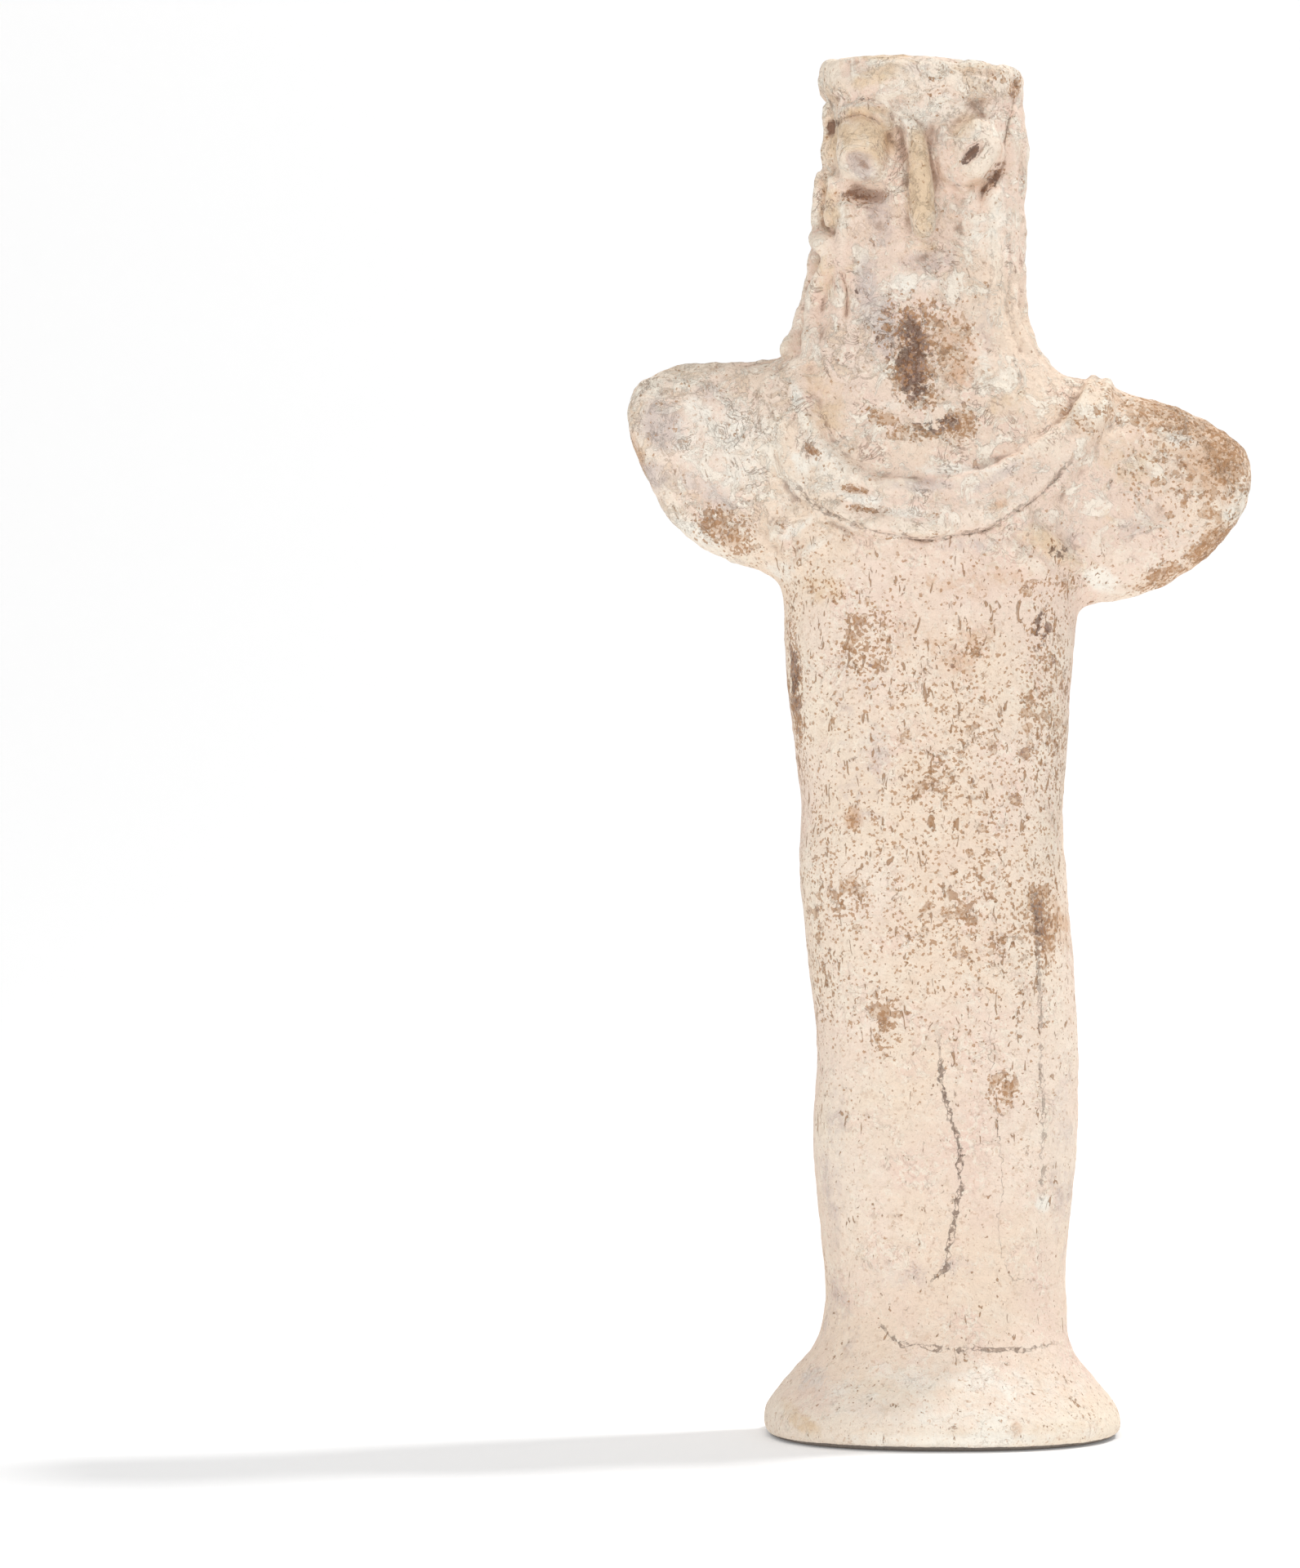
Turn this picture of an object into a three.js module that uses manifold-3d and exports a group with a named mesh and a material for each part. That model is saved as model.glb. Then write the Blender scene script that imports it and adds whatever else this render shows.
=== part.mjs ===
// A hand-modelled terracotta idol, fired as one piece: a pillar body on a flared foot, flat stump arms
// bent to the chest, and an upright head with pellet eyes, a pinched nose, a headband, long locks of
// hair and a collar of clay rolls.
//
// Millimetres, +Z up. The origin is the middle of the flat underside. The idol faces -Y, and its two
// sides are called left and right as someone in front of it sees them: left is -X.
import * as THREE from "three";
import { mergeVertices } from "three/addons/utils/BufferGeometryUtils.js";
import Module from "manifold-3d";

const wasm = await Module();
wasm.setup();

// Driving dimensions
const HEIGHT = 220;
const FOOT_WIDTH = 57;
const FOOT_DEPTH = 53;
const UNDERSIDE_SHARE = 0.94; // the flat that the idol stands on, as a share of the foot
const LIP_LIFT = 0.6; // how far the uneven lip of the foot clears the ground in front
const PILLAR_WIDTH = 42;
const PILLAR_DEPTH = 34;
const SHOULDER_WIDTH = 49;
const SHOULDER_DEPTH = 30;
const NECK_WIDTH = 34;
const NECK_DEPTH = 24;
const HEAD_WIDTH = 29;
const HEAD_DEPTH = 24;
const CROWN_DROP = 1.6; // how much lower the flat crown is at its right edge
const ARM_SPAN = 100;
const ARM_THICKNESS = 15;
const HOLLOW_DEPTH = 2.1; // the thumb press between each upper arm and forearm
const CHEEK_DEPTH = 1.3; // the finger press on each side of the nose
const NOSE_WIDTH = 4;
const NOSE_PROJECTION = 5.2;
const EYE_WIDTH = 9;
const EYE_HEIGHT = 10.8;
const EYE_PROJECTION = 4;
const BROW_WIDTH = 2;
const BAND_HEIGHT = 6.4;
const BAND_THICKNESS = 3.6;
const LOCK_WIDTH = 3.5;
const BACK_LOCK_WIDTH = 6.4;
const COLLAR_ROLL = 4.6;
const FINGER_WIDTH = 2.4;
const LUMP_LENGTH = 5;

// Proportions of the clay work
const ARM_SQUARENESS = 2.3; // of an arm's section, where 2 is an ellipse
const KNOT_SWELL_SHARE = 0.16; // how much a lock swells at its knots
const BAND_MIDDLE_SHARE = 98; // height of the headband
const BAND_DROOP_SHARE = 0.35; // how far the headband falls to the right
const LOCK_TOP_SHARE = 96.8; // height at which the locks come out from under the headband
const NOSE_ROOT_SHARE = 0.55; // the nose's bulk at its top, as a share of its bulk at its tip
const PUPIL_DEPTH_SHARE = 0.5; // as a share of an eye's projection
const SIDE_STAND_SHARE = 0.7; // how far the locks at the side stand out, as a share of a lock's width

// How finely the faceted forms are divided
const BODY_SIDES = 32;
const BODY_ROWS = 35;
const ARM_SIDES = 18;
const ARM_ROWS = 14;

const TAU = 2 * Math.PI;
const TERRACOTTA = new THREE.MeshStandardMaterial({ color: 0xe6d3c0, roughness: 0.93, metalness: 0 });

// Places on the idol are written in hundredths of its height.
const percent = (value) => (value * HEIGHT) / 100;

// The body's parts, whose widths and depths its stations share
const FOOT = { width: FOOT_WIDTH, depth: FOOT_DEPTH };
const PILLAR = { width: PILLAR_WIDTH, depth: PILLAR_DEPTH };
const SHOULDER = { width: SHOULDER_WIDTH, depth: SHOULDER_DEPTH };
const NECK = { width: NECK_WIDTH, depth: NECK_DEPTH };
const HEAD = { width: HEAD_WIDTH, depth: HEAD_DEPTH };

// Cross-sections of the body from the foot's edge to the crown: the part it belongs to, its height,
// how far it has leaned sideways and back, its shares of the part's width and depth, and its
// squareness, where 2 is an ellipse.
const BODY_STATIONS = [
  [FOOT, 0.1, 0, 0, 0.98, 0.98, 2],
  [FOOT, 0.9, 0, 0, 1, 1, 2],
  [FOOT, 2.2, -0.1, 0, 0.97, 0.96, 2.05],
  [FOOT, 4.2, -0.1, 0, 0.85, 0.84, 2.1],
  [FOOT, 6.4, 0.1, 0, 0.725, 0.71, 2.3],
  [PILLAR, 9.4, 0.3, 0, 0.915, 0.97, 2.5],
  [PILLAR, 14, 0.25, 0, 0.93, 0.95, 2.7],
  [PILLAR, 21, 0.25, 0, 1, 0.98, 2.8],
  [PILLAR, 28, 0.35, 0, 0.99, 0.98, 2.8],
  [PILLAR, 35, -0.3, 0, 1.005, 1, 2.8],
  [PILLAR, 41, -0.8, 0, 1.01, 1, 2.8],
  [PILLAR, 46, -0.75, 0, 0.995, 1, 2.8],
  [PILLAR, 52, -0.9, 0, 1.06, 1, 2.8],
  [PILLAR, 58, -0.95, 0, 1.11, 0.98, 2.7],
  [SHOULDER, 64, -0.9, 0, 0.97, 1.08, 2.6],
  [SHOULDER, 70, -0.9, 0.05, 1, 1.02, 2.5],
  [SHOULDER, 74.5, -0.9, 0.1, 0.98, 0.95, 2.4],
  [SHOULDER, 77.6, -1.9, 0.2, 0.88, 0.9, 2.3],
  [NECK, 79.5, -1.75, 0.3, 1.08, 1.04, 2.3],
  [NECK, 82, -1.65, 0.4, 0.96, 1, 2.4],
  [NECK, 85.5, -1.6, 0.5, 0.92, 0.98, 2.5],
  [HEAD, 90, -1.45, 0.6, 1, 0.98, 2.6],
  [HEAD, 94.5, -1.4, 0.7, 1, 0.99, 2.6],
  [HEAD, 98, -1.6, 0.8, 0.98, 0.98, 2.6],
  [HEAD, 99.5, -1.8, 0.8, 0.88, 0.88, 2.4],
];

// Cross-sections of each arm from inside the body to the tip: its distance out as a share of half the
// span, the heights of its top and bottom edge, and its share of the arms' thickness.
const LEFT_ARM = {
  side: -1,
  stations: [
    [0.16, 76, 64.5, 1.6],
    [0.5, 77.7, 62.4, 1.3],
    [0.64, 77.9, 62.8, 1.06],
    [0.76, 77.9, 64, 0.94],
    [0.86, 77.5, 66.1, 0.84],
    [0.94, 76.8, 68.9, 0.72],
    [0.99, 75.9, 71.6, 0.5],
    [1.012, 74, 73.6, 0],
  ],
  hollow: { x: -16.2, z: 66.5, long: 4.7, wide: 1.35, turn: -32 },
};
const RIGHT_ARM = {
  side: 1,
  stations: [
    [0.16, 76, 62, 1.6],
    [0.44, 76.9, 60.4, 1.3],
    [0.585, 75.9, 60.3, 1.06],
    [0.71, 75.1, 61.5, 0.94],
    [0.82, 73.9, 63.3, 0.84],
    [0.905, 72.7, 65.2, 0.72],
    [0.965, 71.4, 67.3, 0.5],
    [0.988, 69.8, 69.4, 0],
  ],
  hollow: { x: 14.7, z: 66.6, long: 3.9, wide: 1.25, turn: 29 },
};

// Finger presses in the front of the body: middle, reach along and across, turn and depth
const FACE_PRESSES = [
  { x: -4.4, z: 88.2, long: 4.4, wide: 1.9, turn: 90, depth: CHEEK_DEPTH },
  { x: 1.2, z: 88.2, long: 4.4, wide: 1.9, turn: 90, depth: CHEEK_DEPTH },
  { x: -1.6, z: 85.3, long: 1.9, wide: 1.5, turn: 0, depth: CHEEK_DEPTH * 0.6 },
];

// The nose's ridge from the forehead down, with its share of the projection
const NOSE_LINE = [
  [-3.2, 95.3, 0.35],
  [-2.3, 94, 0.55],
  [-1.85, 91, 0.8],
  [-1.6, 86.5, 1],
];

// Each eye's place, and its pupil's place from there, half length and half width as shares of an eye's
// width, and turn
const EYES = [
  { x: -5.9, z: 93, pupil: { x: -0.2, z: -1.2, long: 0.34, wide: 0.23, turn: -45 } },
  { x: 2.1, z: 92.9, pupil: { x: -0.3, z: -0.3, long: 0.28, wide: 0.095, turn: 47 } },
];
const BROWS = [
  [[-7.1, 95.5], [-5.9, 96], [-4.6, 95.4], [-3.8, 94.3]],
  [[-0.2, 94.8], [-0.5, 92.8], [0.1, 91.2], [1.6, 90.1]],
];

// Locks of hair: how far round from the front each starts and ends, its lower end's height, its shares
// of a lock's width and thickness, and the number of knots along it.
const LOCKS = [
  { from: -53, to: -50, end: 78.5, width: 1, thick: 0.8, knots: 0 },
  { from: -90, to: -86, end: 77, width: 1.1, thick: 0.95, knots: 6 },
  { from: -110, to: -106, end: 77, width: 1.1, thick: 1, knots: 4 },
  { from: 43, to: 44, end: 76, width: 1.25, thick: 0.8, knots: 0 },
  { from: 62, to: 62, end: 75.5, width: 1.35, thick: 0.85, knots: 0 },
  { from: 82, to: 80, end: 75.5, width: 1.35, thick: 0.9, knots: 0 },
  { from: 102, to: 99, end: 75.5, width: 1.35, thick: 0.9, knots: 0 },
  { from: 120, to: 117, end: 76, width: 1.3, thick: 0.9, knots: 0 },
];
const BACK_LOCKS = [-155, -131, 138, 157, 180];
const BACK_LOCK_HEIGHTS = [LOCK_TOP_SHARE, 91, 85, 81, 77];

// Short strands on the left of the face, with their shares of a lock's width
const STRANDS = [
  { width: 0.86, points: [[-8.8, 91.8], [-9, 89.6], [-8.6, 87.4]] },
  { width: 0.6, points: [[-7.5, 91.2], [-7.6, 89.2], [-7.9, 87.4]] },
  { width: 0.86, points: [[-9, 87.2], [-8.4, 86.6], [-7.8, 86]] },
  { width: 0.69, points: [[-8.1, 86.4], [-8.4, 84.6], [-8.9, 82.1], [-9.5, 77.4]] },
  { width: 0.74, points: [[-9, 86.2], [-9.3, 84.4], [-10, 81.6], [-11, 78]] },
];

// Bits of clay stuck on: place, half length, half width and half thickness as shares of a bit's length,
// and turn
const LUMPS = [
  { x: -9, z: 93.1, long: 0.52, wide: 0.3, thick: 0.38, turn: 80 },
  { x: -7.9, z: 97.6, long: 0.48, wide: 0.3, thick: 0.3, turn: 60 },
  { x: 5.1, z: 98.9, long: 0.4, wide: 0.3, thick: 0.34, turn: -60 },
];

// Rolls of the collar from the shoulder to the breastbone: three thinner ones and a short end on the
// left, and two broad flat ones on the right, with their shares of a roll's width and thickness
const COLLAR = [
  { width: 0.6, thick: 0.55, points: [[-12.2, 76.9], [-12.8, 74.6], [-12.2, 72.7], [-10.9, 70.2]] },
  {
    width: 0.82,
    thick: 0.8,
    points: [[-11.3, 77], [-11.5, 73.6], [-10.9, 70.6], [-9.5, 68.5], [-6.4, 66.5], [-2.8, 66], [0.4, 66]],
  },
  {
    width: 0.72,
    thick: 0.75,
    points: [[-10.8, 77.3], [-10.7, 73.8], [-10, 71], [-8.4, 69.1], [-6, 67.8], [-3, 67.5], [0.4, 67]],
  },
  {
    width: 0.75,
    thick: 0.8,
    points: [[-10.2, 78], [-9.9, 74.8], [-9.1, 72.3], [-7.8, 70.4], [-5.6, 69], [-3, 68.5], [-0.6, 67.9]],
  },
  {
    width: 1.2,
    thick: 0.65,
    points: [[11.7, 76.2], [11.1, 74], [9.5, 71.6], [7.2, 69.3], [4.4, 67.6], [1.5, 66.6], [-1.8, 66]],
  },
  {
    width: 1.3,
    thick: 0.65,
    points: [[10.9, 77], [10, 74.5], [8.8, 72.8], [6.8, 70.9], [4.4, 69.4], [1.7, 68.3], [-1.5, 67.8]],
  },
];

const FINGERS = [
  { points: [[-12.8, 64.9], [-11.1, 66.5], [-8.6, 66.9]], width: 1 },
  { points: [[-11.9, 63.9], [-10.4, 65.5], [-8.3, 66.1]], width: 0.95 },
  { points: [[-10.8, 62.9], [-9.3, 64.5], [-7.6, 65.3]], width: 0.8 },
  { points: [[9.6, 63], [6.9, 65], [4.8, 66.4]], width: 1.3 },
  { points: [[8.9, 61.6], [6.2, 63.2], [4.1, 64.9]], width: 1.1 },
];

const signedPower = (value, power) => Math.sign(value) * Math.abs(value) ** power;

// A closed form with a pole at each end. place(row, angle) gives its points.
function form(rows, sides, place) {
  const geometry = new THREE.SphereGeometry(1, sides, rows);
  const { position } = geometry.attributes;
  for (let i = 0; i < position.count; i++) {
    const row = Math.floor(i / (sides + 1));
    const side = (i % (sides + 1)) % sides;
    const point = place(row, (side / sides) * TAU);
    position.setXYZ(i, point.x, point.y, point.z);
  }
  return solid(geometry);
}

// A closed geometry as a solid that can be joined and cut, with its faces turned outwards
function solid(geometry) {
  geometry.deleteAttribute("normal");
  geometry.deleteAttribute("uv");
  const merged = mergeVertices(geometry, 1e-4);
  const vertProperties = merged.attributes.position.array;
  const triVerts = new Uint32Array(merged.index.array);
  const made = new wasm.Manifold(new wasm.Mesh({ numProp: 3, vertProperties, triVerts }));
  if (made.volume() > 0) return made;
  return new wasm.Manifold(new wasm.Mesh({ numProp: 3, vertProperties, triVerts: triVerts.reverse() }));
}

const smooth = (points) => new THREE.CatmullRomCurve3(points, false, "catmullrom", 0.5);

// The parameter at which a curve that only rises along one axis reaches a value, found by halving
function reach(curve, axis, value) {
  let low = 0;
  let high = 1;
  for (let step = 0; step < 24; step++) {
    const middle = (low + high) / 2;
    if (curve.getPoint(middle)[axis] < value) low = middle;
    else high = middle;
  }
  return low;
}

// Curves through the body's stations, which share one parameter
const bodyAxis = smooth(
  BODY_STATIONS.map(
    ([, z, shift, setback]) => new THREE.Vector3(percent(shift), percent(setback), percent(z)),
  ),
);
const bodySizes = smooth(
  BODY_STATIONS.map(
    ([part, , , , width, depth, square]) =>
      new THREE.Vector3((part.width * width) / 2, (part.depth * depth) / 2, square),
  ),
);

// The body's cross-section at a share of the way up its stations
function section(share) {
  const middle = bodyAxis.getPoint(share);
  const sizes = bodySizes.getPoint(share);
  return { middle, halfWidth: sizes.x, halfDepth: sizes.y, square: sizes.z };
}

const sectionAt = (z) => section(reach(bodyAxis, "z", z));

// How deep the presses are at a place on the front
function pressed(x, z, presses) {
  let depth = 0;
  for (const press of presses) {
    const turn = THREE.MathUtils.degToRad(press.turn);
    const dx = x - percent(press.x);
    const dz = z - percent(press.z);
    const along = (dx * Math.cos(turn) + dz * Math.sin(turn)) / percent(press.long);
    const across = (dz * Math.cos(turn) - dx * Math.sin(turn)) / percent(press.wide);
    depth += press.depth * Math.exp(-2 * (along * along + across * across));
  }
  return depth;
}

// A point on a cross-section, angle 0 in front and 90 degrees on the right
function onSection({ middle, halfWidth, halfDepth, square }, angle) {
  const x = middle.x + halfWidth * signedPower(Math.sin(angle), 2 / square);
  const y = middle.y - halfDepth * signedPower(Math.cos(angle), 2 / square);
  const press = Math.cos(angle) > 0 ? pressed(x, middle.z, FACE_PRESSES) : 0;
  return new THREE.Vector3(x, y + press, middle.z);
}

// The front of the body at a place, or its side where the place lies beyond it
function bodyFront(x, z) {
  const { middle, halfWidth, halfDepth, square } = sectionAt(z);
  const across = Math.min(1, Math.abs(x - middle.x) / halfWidth);
  return middle.y - halfDepth * (1 - across ** square) ** (1 / square) + pressed(x, z, FACE_PRESSES);
}

// The foot, pillar, neck and head in one sweep. The underside is flat, the foot's lip lifts in front,
// and the crown falls to the right.
function body() {
  const foot = section(0);
  const crown = section(1);
  const flareTop = percent(5);
  const crownBase = percent(96);
  const liftTurn = 0.15; // radians from the front to where the lip lifts most, on the left
  return form(BODY_ROWS, BODY_SIDES, (row, angle) => {
    if (row === 0) return new THREE.Vector3(0, 0, 0);
    if (row === BODY_ROWS) return new THREE.Vector3(crown.middle.x, crown.middle.y, HEIGHT);
    if (row === 1) {
      const edge = onSection(foot, angle);
      return new THREE.Vector3(edge.x * UNDERSIDE_SHARE, edge.y * UNDERSIDE_SHARE, 0);
    }
    const ring = section((row - 2) / (BODY_ROWS - 3));
    const point = onSection(ring, angle);
    const nearLip = Math.max(0, 1 - point.z / flareTop);
    const nearCrown = Math.max(0, (point.z - crownBase) / (HEIGHT - crownBase));
    const inFront = Math.max(0, Math.cos(angle + liftTurn)) ** 6;
    const toRight = Math.max(0, (point.x - ring.middle.x) / ring.halfWidth);
    point.z += LIP_LIFT * nearLip * inFront - CROWN_DROP * nearCrown * toRight;
    return point;
  });
}

// An arm's curves: how far out, its middle height and half thickness, and its half height
function armCurves({ stations }) {
  const half = ARM_SPAN / 2;
  return {
    middles: smooth(
      stations.map(
        ([out, top, bottom, thick]) =>
          new THREE.Vector3(out * half, percent(top + bottom) / 2, (thick * ARM_THICKNESS) / 2),
      ),
    ),
    heights: smooth(stations.map(([, top, bottom]) => new THREE.Vector3(percent(top - bottom) / 2, 0, 0))),
  };
}

// One flat arm, with its thumb press
function arm(shape) {
  const { middles, heights } = armCurves(shape);
  return form(ARM_ROWS, ARM_SIDES, (row, angle) => {
    const share = Math.max(0, (row - 1) / (ARM_ROWS - 1));
    const closed = row === 0 || row === ARM_ROWS ? 0 : 1;
    const middle = middles.getPoint(share);
    const height = closed * heights.getPoint(share).x * signedPower(Math.cos(angle), 2 / ARM_SQUARENESS);
    const thickness = closed * middle.z * signedPower(Math.sin(angle), 2 / ARM_SQUARENESS);
    const x = shape.side * middle.x;
    const z = middle.y + height;
    const hollow = thickness < 0 ? pressed(x, z, [{ ...shape.hollow, depth: HOLLOW_DEPTH }]) : 0;
    return new THREE.Vector3(x, thickness + hollow, z);
  });
}

// The front of an arm at a place, or no front where the place lies beyond it
function armFront(shape, x, z) {
  const { middles, heights } = armCurves(shape);
  const share = reach(middles, "x", x * shape.side);
  const middle = middles.getPoint(share);
  const across = Math.abs(z - middle.y) / heights.getPoint(share).x;
  if (x * shape.side < 0 || across >= 1) return Infinity;
  return -middle.z * (1 - across ** ARM_SQUARENESS) ** (1 / ARM_SQUARENESS);
}

// A point on the front of the idol, whichever form stands proudest there
function onFront([x, z]) {
  const place = [percent(x), percent(z)];
  const y = Math.min(bodyFront(...place), armFront(LEFT_ARM, ...place), armFront(RIGHT_ARM, ...place));
  return new THREE.Vector3(place[0], y, place[1]);
}

// A point on the front of the head or neck, or on the locks at its side where the place lies beyond
function onHead(place) {
  const point = onFront(place);
  const { middle, halfWidth } = sectionAt(point.z);
  const farthest = halfWidth + LOCK_WIDTH * SIDE_STAND_SHARE;
  point.x = middle.x + THREE.MathUtils.clamp(point.x - middle.x, -farthest, farthest);
  return point;
}

// A point some way round the body from its front
function around(degrees, z) {
  return onSection(sectionAt(percent(z)), THREE.MathUtils.degToRad(degrees));
}

// A share of a length with its even steps crowded towards both ends, where a form closes
const crowded = (share) => share - (0.7 * Math.sin(share * TAU)) / TAU;

// A roll of clay pressed on along a path. Its section is an ellipse, width across the surface and thick
// out of it, sunk by a share of its thickness. Knots are swellings along it, and it tapers towards its
// far end.
function roll(points, { width, thick, sunk = 0.2, rows = 12, sides = 6, blunt = 8, knots = 0, taper = 0 }) {
  const path = new THREE.CatmullRomCurve3(points, false, "centripetal");
  return form(rows, sides, (row, angle) => {
    const along = crowded(row / rows);
    const middle = path.getPointAt(along);
    const tangent = path.getTangentAt(along);
    const axis = sectionAt(middle.z).middle;
    const outward = new THREE.Vector3(middle.x - axis.x, middle.y - axis.y, 0).normalize();
    const side = new THREE.Vector3().crossVectors(tangent, outward).normalize();
    outward.crossVectors(side, tangent).normalize();
    const knot = 1 + KNOT_SWELL_SHARE * Math.sin(along * knots * TAU);
    const thinning = taper * along * along;
    const swell = Math.sqrt(1 - Math.abs(2 * along - 1) ** blunt) * knot * (1 - thinning / 2);
    return middle
      .addScaledVector(outward, ((0.5 - sunk - thinning) * thick) / 2 + (thick / 2) * swell * Math.cos(angle))
      .addScaledVector(side, (width / 2) * swell * Math.sin(angle));
  });
}

// A wide flat band round the head, open behind, that droops a little to the right
function headband() {
  const points = [];
  for (let degrees = -170; degrees <= 170; degrees += 20) {
    const droop = BAND_DROOP_SHARE * Math.sin(THREE.MathUtils.degToRad(degrees));
    points.push(around(degrees, BAND_MIDDLE_SHARE - droop));
  }
  const size = { width: BAND_HEIGHT, thick: BAND_THICKNESS };
  return roll(points, { ...size, rows: 28, sides: 8, sunk: 0.3, blunt: 30 });
}

function nose() {
  const points = NOSE_LINE.map(([x, z, rise]) => {
    const point = onFront([x, z]);
    point.y -= NOSE_PROJECTION * rise * 0.45;
    return point;
  });
  const path = new THREE.CatmullRomCurve3(points);
  const rows = 8;
  return form(rows, 8, (row, angle) => {
    const along = crowded(row / rows);
    const middle = path.getPointAt(along);
    const ending = Math.sqrt(1 - Math.abs(2 * along - 1) ** 7);
    const bulk = ending * (NOSE_ROOT_SHARE + (1 - NOSE_ROOT_SHARE) * along);
    middle.x += (NOSE_WIDTH / 2) * bulk * Math.sin(angle);
    middle.y -= NOSE_PROJECTION * 0.6 * bulk * Math.cos(angle);
    return middle;
  });
}

// An ellipsoid turned in the plane of the front
function pellet(middle, halfLong, halfWide, halfThick, degrees, rows, sides) {
  const turn = THREE.MathUtils.degToRad(degrees);
  return form(rows, sides, (row, angle) => {
    const ring = Math.sin((row / rows) * Math.PI);
    const long = halfLong * ring * Math.cos(angle);
    const wide = halfWide * ring * Math.sin(angle);
    return new THREE.Vector3(
      middle.x + long * Math.cos(turn) - wide * Math.sin(turn),
      middle.y - halfThick * Math.cos((row / rows) * Math.PI),
      middle.z + long * Math.sin(turn) + wide * Math.cos(turn),
    );
  });
}

function eye({ x, z }) {
  return pellet(onFront([x, z]), EYE_HEIGHT / 2, EYE_WIDTH / 2, EYE_PROJECTION, 90, 7, 12);
}

// The hollow pressed into a pellet eye
function pupil({ x, z, pupil: hollow }) {
  const middle = onFront([x, z]);
  middle.x += percent(hollow.x);
  middle.z += percent(hollow.z);
  middle.y -= EYE_PROJECTION * 0.92;
  const long = EYE_WIDTH * hollow.long;
  const wide = EYE_WIDTH * hollow.wide;
  return pellet(middle, long, wide, EYE_PROJECTION * PUPIL_DEPTH_SHARE, hollow.turn, 5, 8);
}

function brow(points) {
  return roll(points.map(onFront), { width: BROW_WIDTH, thick: BROW_WIDTH * 1.3, rows: 7, sunk: -0.1 });
}

function lock({ from, to, end, width, thick, knots }) {
  const points = [];
  const steps = 5;
  for (let step = 0; step <= steps; step++) {
    const share = step / steps;
    points.push(around(from + (to - from) * share, LOCK_TOP_SHARE + (end - LOCK_TOP_SHARE) * share));
  }
  const size = { width: LOCK_WIDTH * width, thick: LOCK_WIDTH * thick };
  return roll(points, { ...size, sunk: 0.3, rows: knots ? 15 : 9, knots, taper: 0.9 });
}

function backLock(degrees) {
  const points = BACK_LOCK_HEIGHTS.map((z) => around(degrees, z));
  return roll(points, { width: BACK_LOCK_WIDTH, thick: LOCK_WIDTH * 0.9, rows: 8, taper: 0.8 });
}

function strand({ points, width }) {
  const size = LOCK_WIDTH * width;
  return roll(points.map(onHead), { width: size, thick: size * 1.2, rows: 6, sunk: -0.3 });
}

function lump({ x, z, long, wide, thick, turn }) {
  return pellet(onHead([x, z]), LUMP_LENGTH * long, LUMP_LENGTH * wide, LUMP_LENGTH * thick, turn, 5, 8);
}

function collarRoll({ points, width, thick }) {
  const size = { width: COLLAR_ROLL * width, thick: COLLAR_ROLL * thick };
  return roll(points.map(onFront), { ...size, rows: 13, sides: 7, sunk: 0.15, blunt: 8 });
}

function finger({ points, width }) {
  const size = FINGER_WIDTH * width;
  return roll(points.map(onFront), { width: size * 1.3, thick: size * 0.8, rows: 5, sunk: 0.5 });
}

// A joined solid with its air pockets filled, where rolls of clay that lie side by side close one in
function filled(made) {
  return wasm.Manifold.compose(made.decompose().filter((shell) => shell.volume() > 0));
}

// A joined solid as a geometry
function geometryOf(made) {
  const { numVert, numProp, vertProperties, triVerts } = made.getMesh();
  const positions = new Float32Array(numVert * 3);
  for (let i = 0; i < numVert; i++) {
    positions.set(vertProperties.subarray(i * numProp, i * numProp + 3), i * 3);
  }
  const geometry = new THREE.BufferGeometry();
  geometry.setAttribute("position", new THREE.BufferAttribute(positions, 3));
  geometry.setIndex(new THREE.BufferAttribute(triVerts, 1));
  geometry.computeVertexNormals();
  return geometry;
}

function idol() {
  const pressedOn = [
    arm(LEFT_ARM),
    arm(RIGHT_ARM),
    headband(),
    nose(),
    ...EYES.map(eye),
    ...BROWS.map(brow),
    ...LOCKS.map(lock),
    ...BACK_LOCKS.map(backLock),
    ...STRANDS.map(strand),
    ...LUMPS.map(lump),
    ...COLLAR.map(collarRoll),
    ...FINGERS.map(finger),
  ];
  let joined = pressedOn.reduce((whole, piece) => whole.add(piece), body());
  joined = EYES.map(pupil).reduce((whole, hollow) => whole.subtract(hollow), joined);
  const mesh = new THREE.Mesh(geometryOf(filled(joined)), TERRACOTTA);
  mesh.name = "idol";
  return mesh;
}

const group = new THREE.Group();
group.add(idol());

export default group;
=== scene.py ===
# A hand-modelled terracotta idol on a plain white ground. The body, arms and pressed-on rolls of clay
# follow the CAD's own sizes, are joined into one skin, worked over with the marks of fingers, and given
# the fired clay's colours, stains and specks, with shade painted into its hollows and highlights onto its
# crests.
import math
import bpy
import numpy as np
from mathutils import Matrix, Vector
from mathutils.bvhtree import BVHTree


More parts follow.
